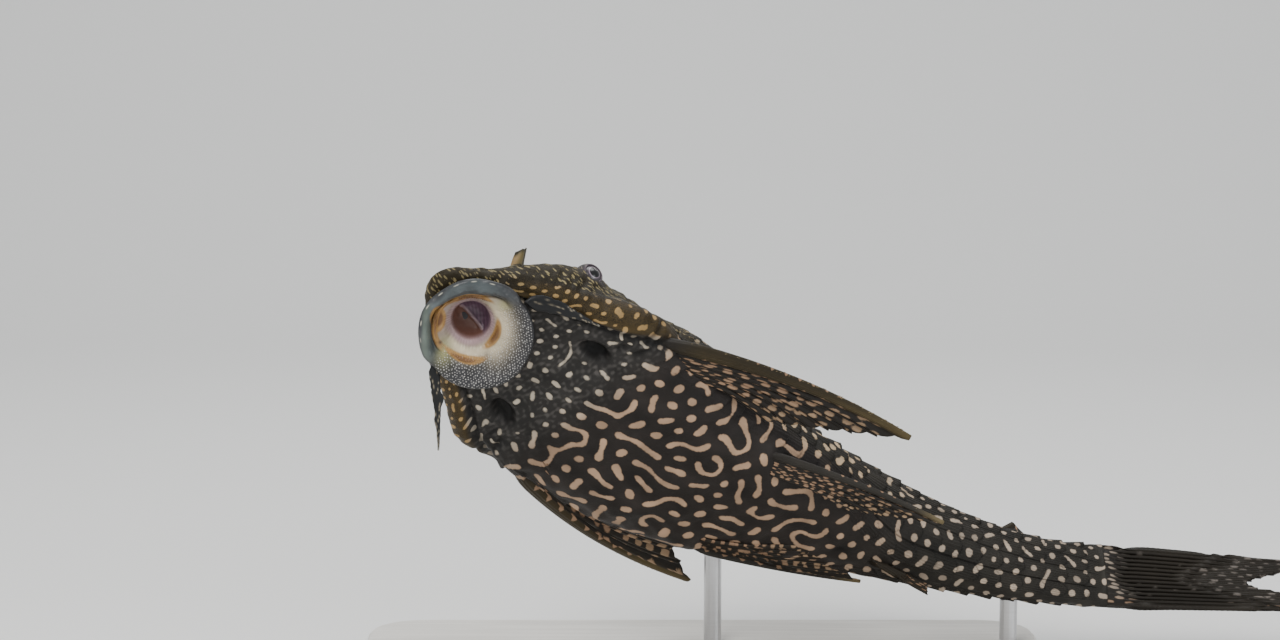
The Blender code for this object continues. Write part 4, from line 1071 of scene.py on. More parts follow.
def gill_reach(share, side):
    """Distance from the middle of the pit at the gill opening, 1 at its rim."""
    return np.hypot((share - GILL_SHARE) / GILL_LENGTH, (side - GILL_GIRTH) / GILL_WIDTH)


def fold_relief(share, side, over):
    """Relief and shade of the cheek's edge, the gill opening, the folds of the throat and the vent."""
    on_head = ease(share, 0.055, 0.10) * (1 - ease(share, 0.245, 0.275))
    cheek = 0.0011 * ease(over, -0.006, 0.010) * (1 - ease(over, 0.03, 0.16))
    relief = (cheek - 0.0015 * bump(over, -0.014, 0.012)) * on_head
    from_gill = gill_reach(share, side)
    gill = 1 - ease(from_gill, 0.35, 0.80)
    gill_rim = bump(from_gill, 1.0, 0.16) * (0.6 + 0.4 * np.sign(GILL_SHARE + 0.004 - share))
    fold = bump(share, 0.243 + 0.10 * (side - 0.35), 0.0042) * bump(side, 0.335, 0.050)
    crinkle = bump(share, 0.232, 0.004) * bump(side, 0.395, 0.04)
    crinkle = crinkle + bump(share, 0.222, 0.003) * bump(side, 0.30, 0.03)
    vent = bump(share, 0.655, 0.010) * bump(side, 0.0, 0.05)
    relief = relief - 0.0032 * gill + 0.0008 * gill_rim - 0.0013 * fold - 0.0009 * crinkle
    relief = relief + 0.0008 * bump(share, 0.652, 0.022) * bump(side, 0.0, 0.09) - 0.0016 * vent
    # painted shade: the groove under the cheek's edge, the gill pit, the folds, the crinkles and the
    # vent are darkened
    shade = (1 - 0.65 * bump(over, -0.014, 0.014) * on_head) * (1 - 0.90 * gill) * (1 - 0.6 * fold)
    return relief, shade * (1 - 0.7 * vent) * (1 - 0.6 * np.clip(crinkle, 0, 1))


def skin_relief(share, girth, plain):
    """How far the skin stands off the plain body, its roughness, its dark seams and the painted shade
    at the plates' steps and in its folds and pits, and its dark net.
    """
    side = np.abs(girth)
    over = side - along(CHEEK_EDGE, share)
    lift, plated, seams_and_step_shade = plate_relief(share, girth)
    folds, shade = fold_relief(share, side, over)
    head = 1 - ease(share, 0.235, 0.27)
    smooth = 1 - np.maximum(plated, ease(side, 0.30, 0.42) * head)
    shield = head * ease(over, 0.0, 0.04)
    relief = head_relief(share, girth) + lift + folds + shoulder_rise(plain)
    relief = relief + smooth * 0.00035 * soft_noise(plain, 0.010, 21)
    relief = relief + smooth * 0.00012 * soft_noise(plain, 0.0028, 22)
    relief = relief + shield * 0.00018 * soft_noise(plain, 0.0022, 23)
    rough = 0.35 + 0.5 * np.maximum(plated, shield)
    net = shield * ease(share, 0.05, 0.08) * (1 - 0.6 * ease(side, 0.46, 0.56))
    return relief, rough, (1 - 0.55 * seams_and_step_shade) * shade, net


def head_masks(share, girth):
    """Masks of the head, its olive cheeks, its finely dashed crown, and its throat."""
    side = np.abs(girth)
    edge = along(CHEEK_EDGE, share)
    head = 1 - ease(share, 0.235, 0.285)
    upper = np.maximum(ease(side, edge - 0.004, edge + 0.014), 1 - ease(share, 0.035, 0.060))
    start = 0.405 + 0.3 * np.clip(share - 0.15, 0, 0.2)
    crown = np.maximum(ease(side, start, start + 0.05), 1 - ease(share, 0.055, 0.085))
    crown = crown * (1 - ease(share, 0.25, 0.33 + 0.08 * side))
    return head, head * upper * (1 - crown), np.clip(crown, 0, 1), head * (1 - upper)


def skin_colours(share, girth, plain):
    """Ground and pale colours over the body."""
    side = np.abs(girth)
    head, cheek, crown, throat = head_masks(share, girth)
    flank = ease(side, 0.36, 0.50) * (1 - head)
    tail = ease(share, 0.60, 0.80)
    cloud = 1 + 0.16 * soft_noise(plain, 0.006, 24)[..., None]
    speckle = np.clip(soft_noise(plain, 0.0011, 25), 0, 2)[..., None]
    ground = mixed(BELLY_GROUND, FLANK_GROUND, np.maximum(flank, tail)) * np.clip(cloud, 0.5, 1.6)
    pale = mixed(mixed(BELLY_PALE, FLANK_PALE, flank), TAIL_PALE, tail)
    fuzzy = np.array(THROAT_GROUND) * np.clip(cloud, 0.4, 2.0) * (0.8 + 0.9 * speckle)
    snout = 1 - ease(share, 0.05, 0.11)
    cheek_ground = mixed(CHEEK_GROUND, np.array(CROWN_GROUND) * 1.25, snout)
    cheek_pale = mixed(CHEEK_PALE, CROWN_PALE, snout)
    zones = (
        (throat, fuzzy, THROAT_PALE),
        (cheek, cheek_ground, cheek_pale),
        (crown, CROWN_GROUND, CROWN_PALE),
    )
    for mask, low, high in zones:
        ground = mixed(ground, low, mask)
        pale = mixed(pale, high, mask)
    pale = pale * (1 + 0.08 * soft_noise(plain, 0.004, 26)[..., None])
    return np.clip(ground, 0.002, 1), np.clip(pale, 0.01, 1), crown


def plain_skin(shares, steps):
    """Places and outward directions of the plain body, and its half girths."""
    half = AROUND // 2
    sides, heights, outs, half_girths = rings(np.clip(shares, 0, 1), np.linspace(0, 1, half + 1))
    pick = np.abs(steps)
    sign = np.where(steps < 0, -1.0, 1.0)
    place, _, left, up = directions(shares)
    left, up = left[:, None], up[:, None]
    side, height = (sides[:, pick] * sign)[..., None], heights[:, pick][..., None]
    out_side, out_height = (outs[:, pick, 0] * sign)[..., None], outs[:, pick, 1][..., None]
    plain = place[:, None] + left * side + up * height
    return plain, left * out_side + up * out_height, half_girths


def face_holes(plain, outward, relief, seams_and_painted_shade):
    """The relief with the eyes' sockets and the nostrils' holes, the seams and painted shade with
    painted shade at the sockets' rims and in the holes, and the lids' tone.
    """
    lid_tone = np.zeros_like(relief)
    _, backward, _, _ = directions(NOSTRIL_SHARE)
    for which in (1, -1):
        centre, _, _ = eye_frame(which)
        reach = np.linalg.norm(plain + outward * relief[..., None] - centre, axis=-1) / EYE_RADIUS
        relief = relief + 0.0011 * bump(reach, 1.22, 0.0016 / EYE_RADIUS)
        relief = relief - 0.0065 * (1 - ease(reach, 0.86, 1.06))
        # painted shade in the crease round the eye socket's rim
        seams_and_painted_shade = seams_and_painted_shade * (1 - 0.5 * bump(reach, 1.10, 0.0008 / EYE_RADIUS))
        lid_tone = np.maximum(lid_tone, 1 - ease(reach, 1.10, 1.75))
        nostril, way = nostril_frame(which)
        hole = nostril - way * 0.001 - backward * NOSTRIL_RADIUS * 1.6
        reach = np.linalg.norm(plain - hole, axis=-1) / NOSTRIL_RADIUS
        relief = relief + 0.0007 * bump(reach, 1.35, 0.0006 / NOSTRIL_RADIUS)
        relief = relief - 0.0022 * (1 - ease(reach, 0.4, 1.1))
        # painted shade in the nostril's hole
        seams_and_painted_shade = seams_and_painted_shade * (1 - 0.85 * (1 - ease(reach, 0.6, 1.2)))
    return relief, seams_and_painted_shade, lid_tone


def kept_behind_disc(points, share):
    """The skin's points, moved back where they would come through the mouth disc."""
    centre, forward, leftward, facing = DISC
    away = points - centre
    level = away @ facing
    reach = np.hypot(away @ leftward, away @ forward) / DISC_RADIUS
    ceiling = np.interp(reach, *np.array(DISC_BACK).T) - 0.0003
    ceiling = np.where(reach < 0.56, -0.0158, ceiling)
    behind = (reach < 1.0) & (level > ceiling) & (share < 0.24)
    return points - facing * np.where(behind, level - ceiling, 0)[..., None]


def make_skin(material):
    """One continuous skin from snout to tail root."""
    nose = SNOUT_START + SNOUT_ROUNDING * np.linspace(0.02, 1, NOSE_ROWS) ** 1.7
    body = np.linspace(SNOUT_START + SNOUT_ROUNDING, 1.006, BODY_ROWS)[1:]
    shares = np.concatenate((nose, body))
    steps = np.arange(-(AROUND // 2), AROUND // 2)
    girths = steps / (AROUND // 2)
    plain, outward, half_girths = plain_skin(shares, steps)
    shape = plain.shape[:2]
    share = np.broadcast_to(shares[:, None], shape)
    girth = np.broadcast_to(girths[None, :], shape)
    relief, rough, seams_and_painted_shade, net = skin_relief(share, girth, plain)
    relief, seams_and_painted_shade, lid_tone = face_holes(plain, outward, relief, seams_and_painted_shade)
    points = kept_behind_disc(plain + outward * relief[..., None], share)

    ground, pale, crown = skin_colours(share, girth, plain)
    # painted shade: the pale marks are taken out of the gill pit, so it stays dark
    gill_pit_shade = 1 - ease(gill_reach(share, np.abs(girth)), 0.75, 1.15)
    values = {
        "marks": body_markings(shares, girths) - 0.5 * gill_pit_shade - 0.15 * lid_tone,
        "rough": rough, "seams_and_painted_shade": seams_and_painted_shade, "net": net, "crown": crown,
        "lengthwise": share * STANDARD_LENGTH, "roundwise": girth * half_girths[:, None],
    }
    colours = {"ground": mixed(ground, LID_TONE, 0.8 * lid_tone), "pale": pale}
    snout_level = float(along(WIDEST_LEVEL, SNOUT_START)) * STANDARD_LENGTH
    tip = locate(np.array([SNOUT_START]), np.array([0.0]), np.array([snout_level]))
    item = ring_piece("fish_skin", points, (tip, points[-1:].mean(1)), material, values, colours)
    rows, around = shape
    u = np.broadcast_to(np.linspace(0.01, 0.99, rows)[:, None], shape)
    v = np.broadcast_to((0.01 + 0.98 * np.arange(around) / around)[None, :], shape)
    add_uv(item, with_ends(u), with_ends(v))
    return item


# Mouth


def papilla_field(side_steps):
    """Heights of the lip's small knobs on a square map of the disc, with a jittered close packing."""
    draw = np.random.default_rng(31)
    spacing = 0.00108
    reach = DISC_RADIUS * 1.02
    field = np.zeros((side_steps, side_steps))
    step = 2 * reach / side_steps
    rows = int(2 * reach / (spacing * 0.866)) + 1
    radius = int(0.0009 / step)
    grid = np.arange(-radius, radius + 1) * step
    for row in range(rows):
        y = -reach + row * spacing * 0.866
        for column in range(int(2 * reach / spacing) + 1):
            x = -reach + (column + 0.5 * (row % 2)) * spacing
            px, py = np.array((x, y)) + draw.normal(0, spacing * 0.13, 2)
            wide = draw.uniform(0.00024, 0.00034)
            i = int(round((py + reach) / step))
            j = int(round((px + reach) / step))
            if radius < i < side_steps - radius - 1 and radius < j < side_steps - radius - 1:
                shape = np.exp(-(grid[:, None] ** 2 + grid[None, :] ** 2) / wide**2)
                window = field[i - radius : i + radius + 1, j - radius : j + radius + 1]
                np.maximum(window, shape * draw.uniform(0.8, 1.0), out=window)
    return field, reach, step


def tooth_pads(radius, turns):
    """The fleshy pads that the rows of teeth stand on, 1 along their middles."""
    pads = 0.0
    for angle, pad_radius, _ in TOOTH_ROWS:
        turn = np.angle(np.exp(1j * (turns - math.radians(angle))))
        here = bump(turn, 0.0, math.radians(TOOTH_ARC * 0.62))
        pads = np.maximum(pads, here * bump(radius, pad_radius + 0.035, 0.052))
    return pads


def lip_map():
    """The disc's places, and the masks and directions that its form and its paint share."""
    m = SimpleNamespace()
    m.turns = np.linspace(0, 2 * math.pi, DISC_AROUND, endpoint=False)[None, :]
    face = np.linspace(0.004, 1.0, DISC_ROWS)
    m.radius = np.concatenate((face, DISC_BACK_ROWS))[:, None]
    m.on_face = (np.arange(len(m.radius)) < len(face))[:, None]
    back_level = np.interp(m.radius, *np.array(DISC_BACK).T)
    m.level = np.where(m.on_face, along(DISC_FACE, m.radius), back_level) + 0.0 * m.turns
    shift = np.where(m.on_face, MOUTH_FORWARD * (1 - ease(m.radius, 0.38, 0.95)), 0.0)
    lobe = 1 + 0.012 * np.sin(3 * m.turns + 0.6) + 0.008 * np.sin(7 * m.turns)
    corner = 1 - 0.030 * np.exp(-((np.sin(m.turns) / 0.12) ** 2))
    spread = m.radius * (1 + (lobe * corner - 1) * ease(m.radius, 0.55, 0.8))
    m.places = disc_place(spread, m.turns, m.level, shift)
    m.upper = ease(np.sin(m.turns), -0.12, 0.30) * np.ones_like(m.radius)
    m.lower = 1 - m.upper
    side = np.cos(m.turns) * spread
    on = np.sin(m.turns) * spread + shift
    m.right = 0.81 * side - 0.59 * on
    m.up = 0.58 * side + 0.81 * on
    m.knob = knobs_at(side * DISC_RADIUS, on * DISC_RADIUS)
    papillose = m.lower * ease(m.radius, 0.50, 0.60) * (1 - ease(m.radius, 0.965, 0.995))
    m.knob = m.knob * papillose * m.on_face
    notch = bump(np.cos(m.turns - math.radians(62)), 1.0, 0.22)
    m.inner_edge = 0.765 - 0.19 * notch * np.ones_like(m.radius)
    m.pads = tooth_pads(m.radius, m.turns)
    m.beyond = 0.774 * (m.right + 0.25) + 0.633 * (m.up - 0.32)
    # a raised ridge across the mouth's funnel, which paint_mouth paints pale as a painted highlight
    m.valve = bump(m.beyond, 0.0, 0.040) * (1 - ease(m.radius, 0.27, 0.33))
    return m


def knobs_at(side, on):
    """Heights of the small knobs at places on the disc, in metres to its left and forward."""
    knobs, reach, step = papilla_field(KNOB_STEPS)
    row = np.clip(((on + reach) / step).astype(int), 0, KNOB_STEPS - 1)
    column = np.clip(((side + reach) / step).astype(int), 0, KNOB_STEPS - 1)
    return knobs[row, column]


def lip_relief(m):
    """How far the lips, gums, knobs and folds stand off the disc's plain face, in metres."""
    roll = (m.radius - m.inner_edge) / (1 - m.inner_edge)
    rolled = 0.0015 * bump(roll, 0.42, 0.36) - 0.0009 * bump(m.radius, m.inner_edge - 0.02, 0.035)
    relief = 0.00042 * m.knob + m.upper * rolled
    relief = relief + m.lower * 0.0007 * bump(m.radius, 0.80, 0.16)
    relief = relief + 0.0005 * bump(m.radius, 0.345, 0.022)
    relief = relief + 0.00026 * soft_noise(m.places, 0.0042, 33)
    relief = relief + 0.00007 * soft_noise(m.places, 0.0013, 35)
    folds = np.sin(m.turns * 46 + 1.5 * np.sin(m.turns * 5))
    relief = relief + 0.00012 * folds * bump(m.radius, 0.40, 0.07)
    return (relief + 0.0011 * m.pads + 0.0008 * m.valve) * m.on_face


def patch(m, right, up, narrow=1.0, shallow=1.0):
    """Distance in disc radii from a place as it is seen in the photo, over a patch's two sizes."""
    return np.hypot((m.right - right) / narrow, (m.up - up) / shallow)


def paint_upper_lip(m, paint, wander, within):
    """The upper lip, grey under a painted blue wet sheen that fades at its rim and its right, olive at
    its left, with a tan inner side.
    """
    lip = m.upper * ease(within, -0.01, 0.03)
    # painted sheen: the blue stands for the wet lip's sheen
    rim = 1 - 0.80 * ease(wander, 0.90, 1.0)
    paint = mixed(paint, LIP_BLUE_SHEEN, lip * rim * (1 - 0.70 * ease(m.right, 0.15, 0.55)))
    olive = ease(m.right, -0.70, -0.90) * (1 - ease(wander, 0.93, 1.0)) * 0.6
    paint = mixed(paint, LIP_OLIVE, lip * olive)
    paint = paint * (1 + 0.10 * soft_noise(m.places, 0.0030, 36)[..., None])
    return mixed(paint, LIP_TAN, 0.85 * m.upper * ease(within, 0.0, -0.05))


def paint_bowl(m, paint, within):
    """Cream and yellowish places of the lower lip and the bowl, and the pale knobs."""
    bowl = ease(within, 0.02, -0.03) * m.upper + m.lower
    cream = bump(patch(m, 0.20, 0.08, 1.0, 1 / 0.75), 0.24, 0.20) * ease(m.right, -0.05, 0.30)
    cream = np.maximum(cream, 0.8 * bump(patch(m, -0.10, -0.05), 0.33, 0.14) * m.lower)
    paint = mixed(paint, LIP_CREAM, np.clip(1.15 * cream, 0, 1) * bowl)
    tinge = bump(patch(m, -0.60, -0.30, 1.0, 1 / 0.7), 0.0, 0.15)
    tinge = np.maximum(tinge, 0.7 * bump(patch(m, 0.47, 0.50), 0.0, 0.12))
    paint = mixed(paint, LIP_TINGE, np.clip(tinge, 0, 1) * 0.75 * bowl)
    return mixed(paint, PAPILLA_WHITE, ease(m.knob, 0.45, 0.85) * (0.25 + 0.60 * m.lower))


def paint_gums(m, paint, within):
    """Golden gums with brown lines, a golden pad at the left, and the stripes of the outer rim."""
    gold = m.upper * ease(within, -0.17, -0.11) * (1 - ease(within, -0.03, 0.01))
    gold = gold * ease(np.cos(m.turns), 0.97, 0.70)
    left_pad = patch(m, -0.66, 0.27, 0.15, 0.27)
    paint = mixed(mixed(paint, GUM_GOLD, gold), GUM_GOLD, ease(left_pad, 1.0, 0.80))
    paint = mixed(paint, GUM_BROWN, ease(left_pad, 1.0, 0.80) * ease(left_pad, 0.7, 0.4))
    striations = 0.5 + 0.5 * np.sin(m.turns * 170 + 2 * np.sin(m.radius * 60))
    paint = mixed(paint, GUM_BROWN, gold * (0.25 + 0.50 * striations))
    # painted shade in the groove where the upper lip rolls in against the gums
    paint = mixed(paint, LIP_GROOVE_SHADE, 0.75 * m.upper * bump(within, 0.0, 0.013))
    stripes = np.clip(np.sin(m.turns * 19 + 2.0) - 0.45, 0, 1) * bump(m.radius, 0.962, 0.007)
    stripes = stripes * ease(np.sin(m.turns), 0.3, 0.6)
    return mixed(paint, LIP_STRIPE, np.clip(1.6 * stripes, 0, 1))


def paint_mouth(m, paint):
    """The pink rim of the mouth, its teeth's pads, and its dark ribbed funnel with a raised ridge
    across it, painted pale as a highlight.
    """
    paint = mixed(paint, MOUTH_PINK, (1 - ease(m.radius, 0.38, 0.46)) * (0.75 + 0.25 * m.lower))
    paint = mixed(paint, GUM_GOLD, ease(m.pads, 0.15, 0.45))
    paint = mixed(paint, GUM_BROWN, ease(m.pads, 0.50, 0.90) * 0.85)
    purple = ease(m.beyond, -0.03, 0.03)
    ribs = 0.5 + 0.5 * np.sin(m.right * 105 + 26 * m.up**2)
    deep = mixed(MOUTH_MAROON, MOUTH_PURPLE, purple) * (1 + (0.45 * ribs * purple)[..., None])
    paint = mixed(paint, deep, 1 - ease(m.radius, 0.30, 0.375))
    # painted highlight: the ridge across the funnel is painted pale pink
    return mixed(paint, RIDGE_HIGHLIGHT_PINK, ease(m.valve, 0.30, 0.90) * 0.65)


def lip_paint(m):
    """Colours over the whole disc."""
    wander = m.radius + 0.020 * soft_noise(m.places, 0.0060, 34)
    within = wander - m.inner_edge
    paint = np.broadcast_to(np.array(LIP_GREY), m.places.shape)
    paint = paint_upper_lip(m, paint, wander, within)
    paint = paint_bowl(m, paint, within)
    paint = paint_gums(m, paint, within)
    paint = paint_mouth(m, paint)
    paint = mixed(paint, LIP_SPOT, bump(patch(m, -0.63, -0.16), 0.0, 0.035) * 0.8)
    paint = mixed(paint, LIP_GREY, 1.0 - m.on_face)
    return paint * (1 - 0.5 * (bump(m.radius, 0.985, 0.02) * m.lower)[..., None])


def make_lips(material):
    """The sucking disc: smooth upper lip, wide lower lip with knobs, gums and the mouth's funnel."""
    m = lip_map()
    points = m.places + lip_relief(m)[..., None] * DISC[3]
    centre = disc_place(0.0, 0.0, DISC_FACE[0][1], MOUTH_FORWARD)[None]
    ends = (centre, points[-1:].mean(1))
    return ring_piece("mouth_lips", points, ends, material, None, {"paint": lip_paint(m)})


def make_teeth(material):
    """Four combs of fine curved teeth with amber tips."""
    draw = np.random.default_rng(41)
    t = np.linspace(0, 1, 6)
    forward = MOUTH_FORWARD * 0.80
    tubes = []
    for angle, radius, level in TOOTH_ROWS:
        for k in range(TEETH_IN_ROW):
            w = 2 * (k + 0.5) / TEETH_IN_ROW - 1
            turn = math.radians(angle + TOOTH_ARC / 2 * w) + draw.normal(0, 0.006)
            length = TOOTH_LENGTH * (1 - 0.30 * w * w) * draw.uniform(0.88, 1.05)
            spread = radius + 0.045 - length / DISC_RADIUS * (0.15 * t + 0.95 * t**2)
            rise = level + 0.0001 + length * (0.85 * t - 0.55 * t**2)
            route = disc_place(spread, turn, rise, forward)
            around = disc_place(spread, turn + 0.05, rise, forward) - route
            thick = 0.00018 * (1 - 0.40 * t) * (1 + 0.45 * bump(t, 0.88, 0.10))
            tubes.append(round_tube(route, thick, thick * 0.8, 6, unit(around)))
    paint = mixed(TOOTH_ROOT, TOOTH_TIP, ease(t, 0.35, 0.90))
    return bundle_piece("lip_teeth", tubes, material, paint)


# Eyes, nostril flaps and feelers


def turned_piece(name, side, radii, tilts, around, material, painter):
    """A body turned about an eye's line of sight, from radii and angles off it, and its painter."""
    centre, look, up = eye_frame(side)
    level_way = unit(up - look * np.dot(up, look))
    side_way = np.cross(look, level_way)
    turn = np.linspace(0, 2 * math.pi, around, endpoint=False)[None, :]
    tilt = np.asarray(tilts)[:, None] * np.ones_like(turn)
    size = np.asarray(radii)[:, None] * np.ones_like(turn)
    x = np.sin(tilt) * np.cos(turn) * size
    y = np.sin(tilt) * np.sin(turn) * size
    z = np.cos(tilt) * size
    points = centre + x[..., None] * level_way + y[..., None] * side_way + z[..., None] * look
    return tube_piece(name, points, material, painter(x / EYE_RADIUS, y / EYE_RADIUS, turn, tilt))


def waves_round(turn, counts, seed):
    """Waves of several counts round the eye, each with a start of its own."""
    draw = np.random.default_rng(seed)
    return [np.cos(turn * n + draw.uniform(0, 6.28)) for n in counts]


def paint_eye(x, y, turn, tilt):
    """Black pupil with the flap that hangs into it, a painted highlight along the flap's pale edge,
    and a mauve flecked iris.
    """
    spread = np.hypot(x, y)
    flap = np.hypot((x - 0.36) / 0.13, (y + 0.04) / 0.14)
    pupil = (1 - ease(spread, 0.400, 0.420)) * ease(flap, 0.90, 1.04)
    spokes = sum(waves_round(turn, (17, 23, 31, 41), 51)) / 4
    iris = mixed(IRIS_DARK, IRIS_MAUVE, np.clip(0.5 + 0.45 * spokes + np.zeros_like(tilt), 0, 1))
    iris = mixed(iris, IRIS_RING, bump(spread, 0.448, 0.022) * 0.9)
    iris = mixed(iris, IRIS_BORDER, ease(spread, 0.52, 0.64))
    # painted highlight: a pale crescent round the flap, inside the pupil
    edge = bump(flap, 1.08, 0.12) * (spread < 0.42)
    return mixed(mixed(iris, PUPIL_BLACK, pupil), FLAP_EDGE_HIGHLIGHT, np.clip(edge, 0, 1) * 0.9)


def make_eye(side, material):
    """An eyeball with a low clear dome over the iris."""
    tilts = np.linspace(0.012, math.pi * 0.95, 110)
    radii = EYE_RADIUS * (0.985 + 0.030 * bump(tilts, 0.0, 0.50))
    name = "left_eye" if side > 0 else "right_eye"
    return turned_piece(name, side, radii, tilts, 120, material, paint_eye)


def paint_lids(_x, _y, turn, tilt):
    """Dark grey lids with pale flecks and a mauve edge."""
    edge = 1 - ease(tilt, math.radians(LID_OPENING + 3), math.radians(LID_OPENING + 13))
    draw = np.random.default_rng(52)
    flecks = 0.0
    for k, n in enumerate((7, 11, 5, 9), 1):
        flecks = flecks + np.cos(tilt * 9 * k + turn * n + draw.uniform(0, 6.28))
    cloud = 0.5 + 0.5 * np.cos(turn * 2 + 1.0) + np.zeros_like(tilt)
    ground = mixed(LID_DARK, LID_GREY, cloud)
    ground = mixed(ground, LID_FLECK, ease(flecks / 2, 0.60, 0.9) * 0.8)
    return mixed(ground, LID_EDGE, edge * 0.75)


def make_lids(side, material):
    """The skin that wraps the eyeball up to a rounded rim round the iris."""
    opening = math.radians(LID_OPENING)
    rim = np.linspace(-0.5, 1, 16) * math.pi / 2
    outside = np.linspace(opening + 0.13, math.radians(150), 60)[1:]
    inside = np.linspace(math.radians(148), opening + 0.01, 30)
    tilts = np.concatenate((opening + 0.085 * (1 - np.cos(rim)), outside, inside))
    radii = EYE_RADIUS * np.concatenate((
        1.045 + 0.065 * np.sin(rim),
        1.075 + 0.035 * np.exp(-(outside - opening) / 0.25),
        np.full(30, 0.995),
    ))
    name = "left_lids" if side > 0 else "right_lids"
    return turned_piece(name, side, radii, tilts, 110, material, paint_lids)


def make_flap(side, material):
    """The upright flap of skin behind the nostril, cupped forward, with a thin dark edge."""
    base, outward = nostril_frame(side)
    _, backward, left, _ = directions(NOSTRIL_SHARE)
    across = unit(left * side - outward * np.dot(left * side, outward))
    t = np.linspace(0, 1, 36)[:, None]
    w = np.linspace(-1, 1, 36)[None, :]
    upright, lean = FLAP_STANCES[side]
    ragged = 1 - 0.10 * (0.5 + 0.5 * np.sin(w * 6 + side)) * t
    rise = FLAP_HEIGHT * upright * (t * 1.25 - 0.25) * ragged
    rise = rise * (1 - 0.18 * w * w - 0.16 * np.clip(-w, 0, 1))
    over = FLAP_WIDTH * (1 - 0.35 * t**2) / 2 * (1.30 * w - 0.30)
    back = FLAP_WIDTH * 0.20 * (1 - w * w) - FLAP_HEIGHT * lean * t
    middle = base + across * over[..., None] + backward * back[..., None] + outward * rise[..., None]
    thickness = (0.0011 - 0.0006 * t) * (1 - 0.55 * np.abs(w) ** 6)
    border = np.clip(ease(t, 0.72, 1.0) + ease(np.abs(w), 0.55, 1.0), 0, 1)
    tan = ease(side * w, 0.15, -0.75) * (1 - ease(t, 0.55, 0.9)) * 0.8
    paint = mixed(mixed(FLAP_SKIN, FLAP_BORDER, border), FLAP_TAN, tan)
    name = "left_nostril_flap" if side > 0 else "right_nostril_flap"
    return thin_sheet(name, middle, thickness, material, None, {"paint": paint})


def barbel_routes():
    """Middle lines of the left feeler, along the cheek, and of the right one, hanging."""
    steps = np.linspace(0, 1, 90)
    root = disc_place(0.93, 0.0, -0.0022)
    left = []
    for t in steps:
        share = 0.108 + 0.070 * t
        on_cheek = skin_point(share, 0.340, 0.0026 + 0.0010 * math.sin(math.pi * t))
        left.append(root + (on_cheek - root) * float(ease(t, -0.15, 0.35)) if t < 0.35 else on_cheek)
    root = disc_place(0.93, math.pi, -0.0022)
    right = []
    for t in steps:
        sway = -0.0004 + 0.0018 * math.sin(1.9 * t)
        right.append(root + np.array([sway, 0.0004 * t, -BARBEL_LENGTH * t]))
    return steps, np.array(left), np.array(right)


def make_barbel(name, steps, route, broad, flap, material, seed):
    """A tapered, slightly ragged feeler with pale dashes, broad and flat at the mouth's corner."""
    draw = np.random.default_rng(seed)
    sides = 40
    t = steps[:, None]
    flat_way = unit(np.cross(unit(np.gradient(route, axis=0)), (0.0, 1.0, 0.0)))
    radius = BARBEL_RADIUS * (1 - 0.80 * t)
    turn = np.linspace(0, 2 * math.pi, sides, endpoint=False)[None, :]
    ragged = 0.20 * np.interp(steps, np.linspace(0, 1, 34), draw.uniform(-1, 1, 34))[:, None]
    side_flap = flap * bump(t, 0.42, 0.07) * np.clip(np.cos(turn), 0, 1)
    side_flap = side_flap + 0.5 * flap * bump(t, 0.66, 0.05) * np.clip(-np.cos(turn), 0, 1)
    web = broad * (1 - t) ** 1.3 * ease(t, 0.0, 0.06)
    wide = radius * (1.15 + side_flap + ragged * np.cos(turn)) + web
    wide = wide * (0.35 + 0.65 * ease(t, 0.0, 0.15))
    places = round_tube(route, wide, np.broadcast_to(radius * 0.8, wide.shape), sides, flat_way)
    over = np.cos(turn) * wide
    paint = np.broadcast_to(np.array(FEELER_SKIN), wide.shape + (3,))
    for k in range(FEELER_DASHES):
        place = BARBEL_LENGTH * (0.10 + 0.85 * (k + draw.uniform(0, 0.8)) / FEELER_DASHES)
        level = draw.uniform(-0.8, 0.8) * np.interp(place / BARBEL_LENGTH, steps, wide.max(1))
        dash = bump(t * BARBEL_LENGTH, place, draw.uniform(0.0003, 0.0007))
        dash = dash * bump(over, level, 0.00018)
        paint = mixed(paint, FEELER_DASH, np.clip(dash * 1.3, 0, 1))
    paint = mixed(paint, FEELER_TIP, ease(t, 0.93, 1.0) * np.ones_like(turn))
    return tube_piece(name, places, material, paint)


# Fins


def ray_profile(place, t, stout=1.0):
    """Height of the rays, 0 to 1, over places counted in rays. Each ray forks towards its tip."""
    away = place - np.round(place)
    split = 0.17 * ease(t, 0.38, 0.75)
    left_arm = np.exp(-(((away - split) / (0.13 - 0.03 * t)) ** 2))
    right_arm = np.exp(-(((away + split) / (0.13 - 0.03 * t)) ** 2))
    return np.clip(np.maximum(left_arm, right_arm), 0, 1) * stout


def ray_joints(t, length, seed):
    """Fine cross joints along the rays."""
    return 0.5 + 0.5 * np.cos(2 * math.pi * t * length / 0.0022 + seed)


def ray_spots(place, run, period, seed):
    """Rows of oval spots, one row to a ray, as a field of marks above a half."""
    draw = np.random.default_rng(seed)
    ray = np.round(place)
    chance = draw.random((4, 97, 89))
    row = ray.astype(int) % 97
    phase = chance[0][row, 0]
    cell = np.floor(run / period + phase)
    column = cell.astype(int) % 89
    middle = (cell + 0.5 + 0.5 * (chance[1][row, column] - 0.5) - phase) * period
    shift = 0.30 * (chance[2][row, column] - 0.5)
    size = 0.75 + 0.5 * chance[3][row, column]
    away = np.hypot((place - ray - shift) / 0.30, (run - middle) / (period * 0.27)) / size
    return np.clip(1.0 - 0.5 * away, 0, 1)


def fin_sheet(name, middle, thickness, material, marks, ground, pale):
    """A fin's thin body, with its marks and colours spread over the whole grid of points."""
    spread = [np.broadcast_to(colour, middle.shape) for colour in (ground, pale)]
    colours = dict(zip(("ground", "pale"), spread))
    return thin_sheet("fine_" + name, middle, thickness, material, {"marks": marks}, colours)


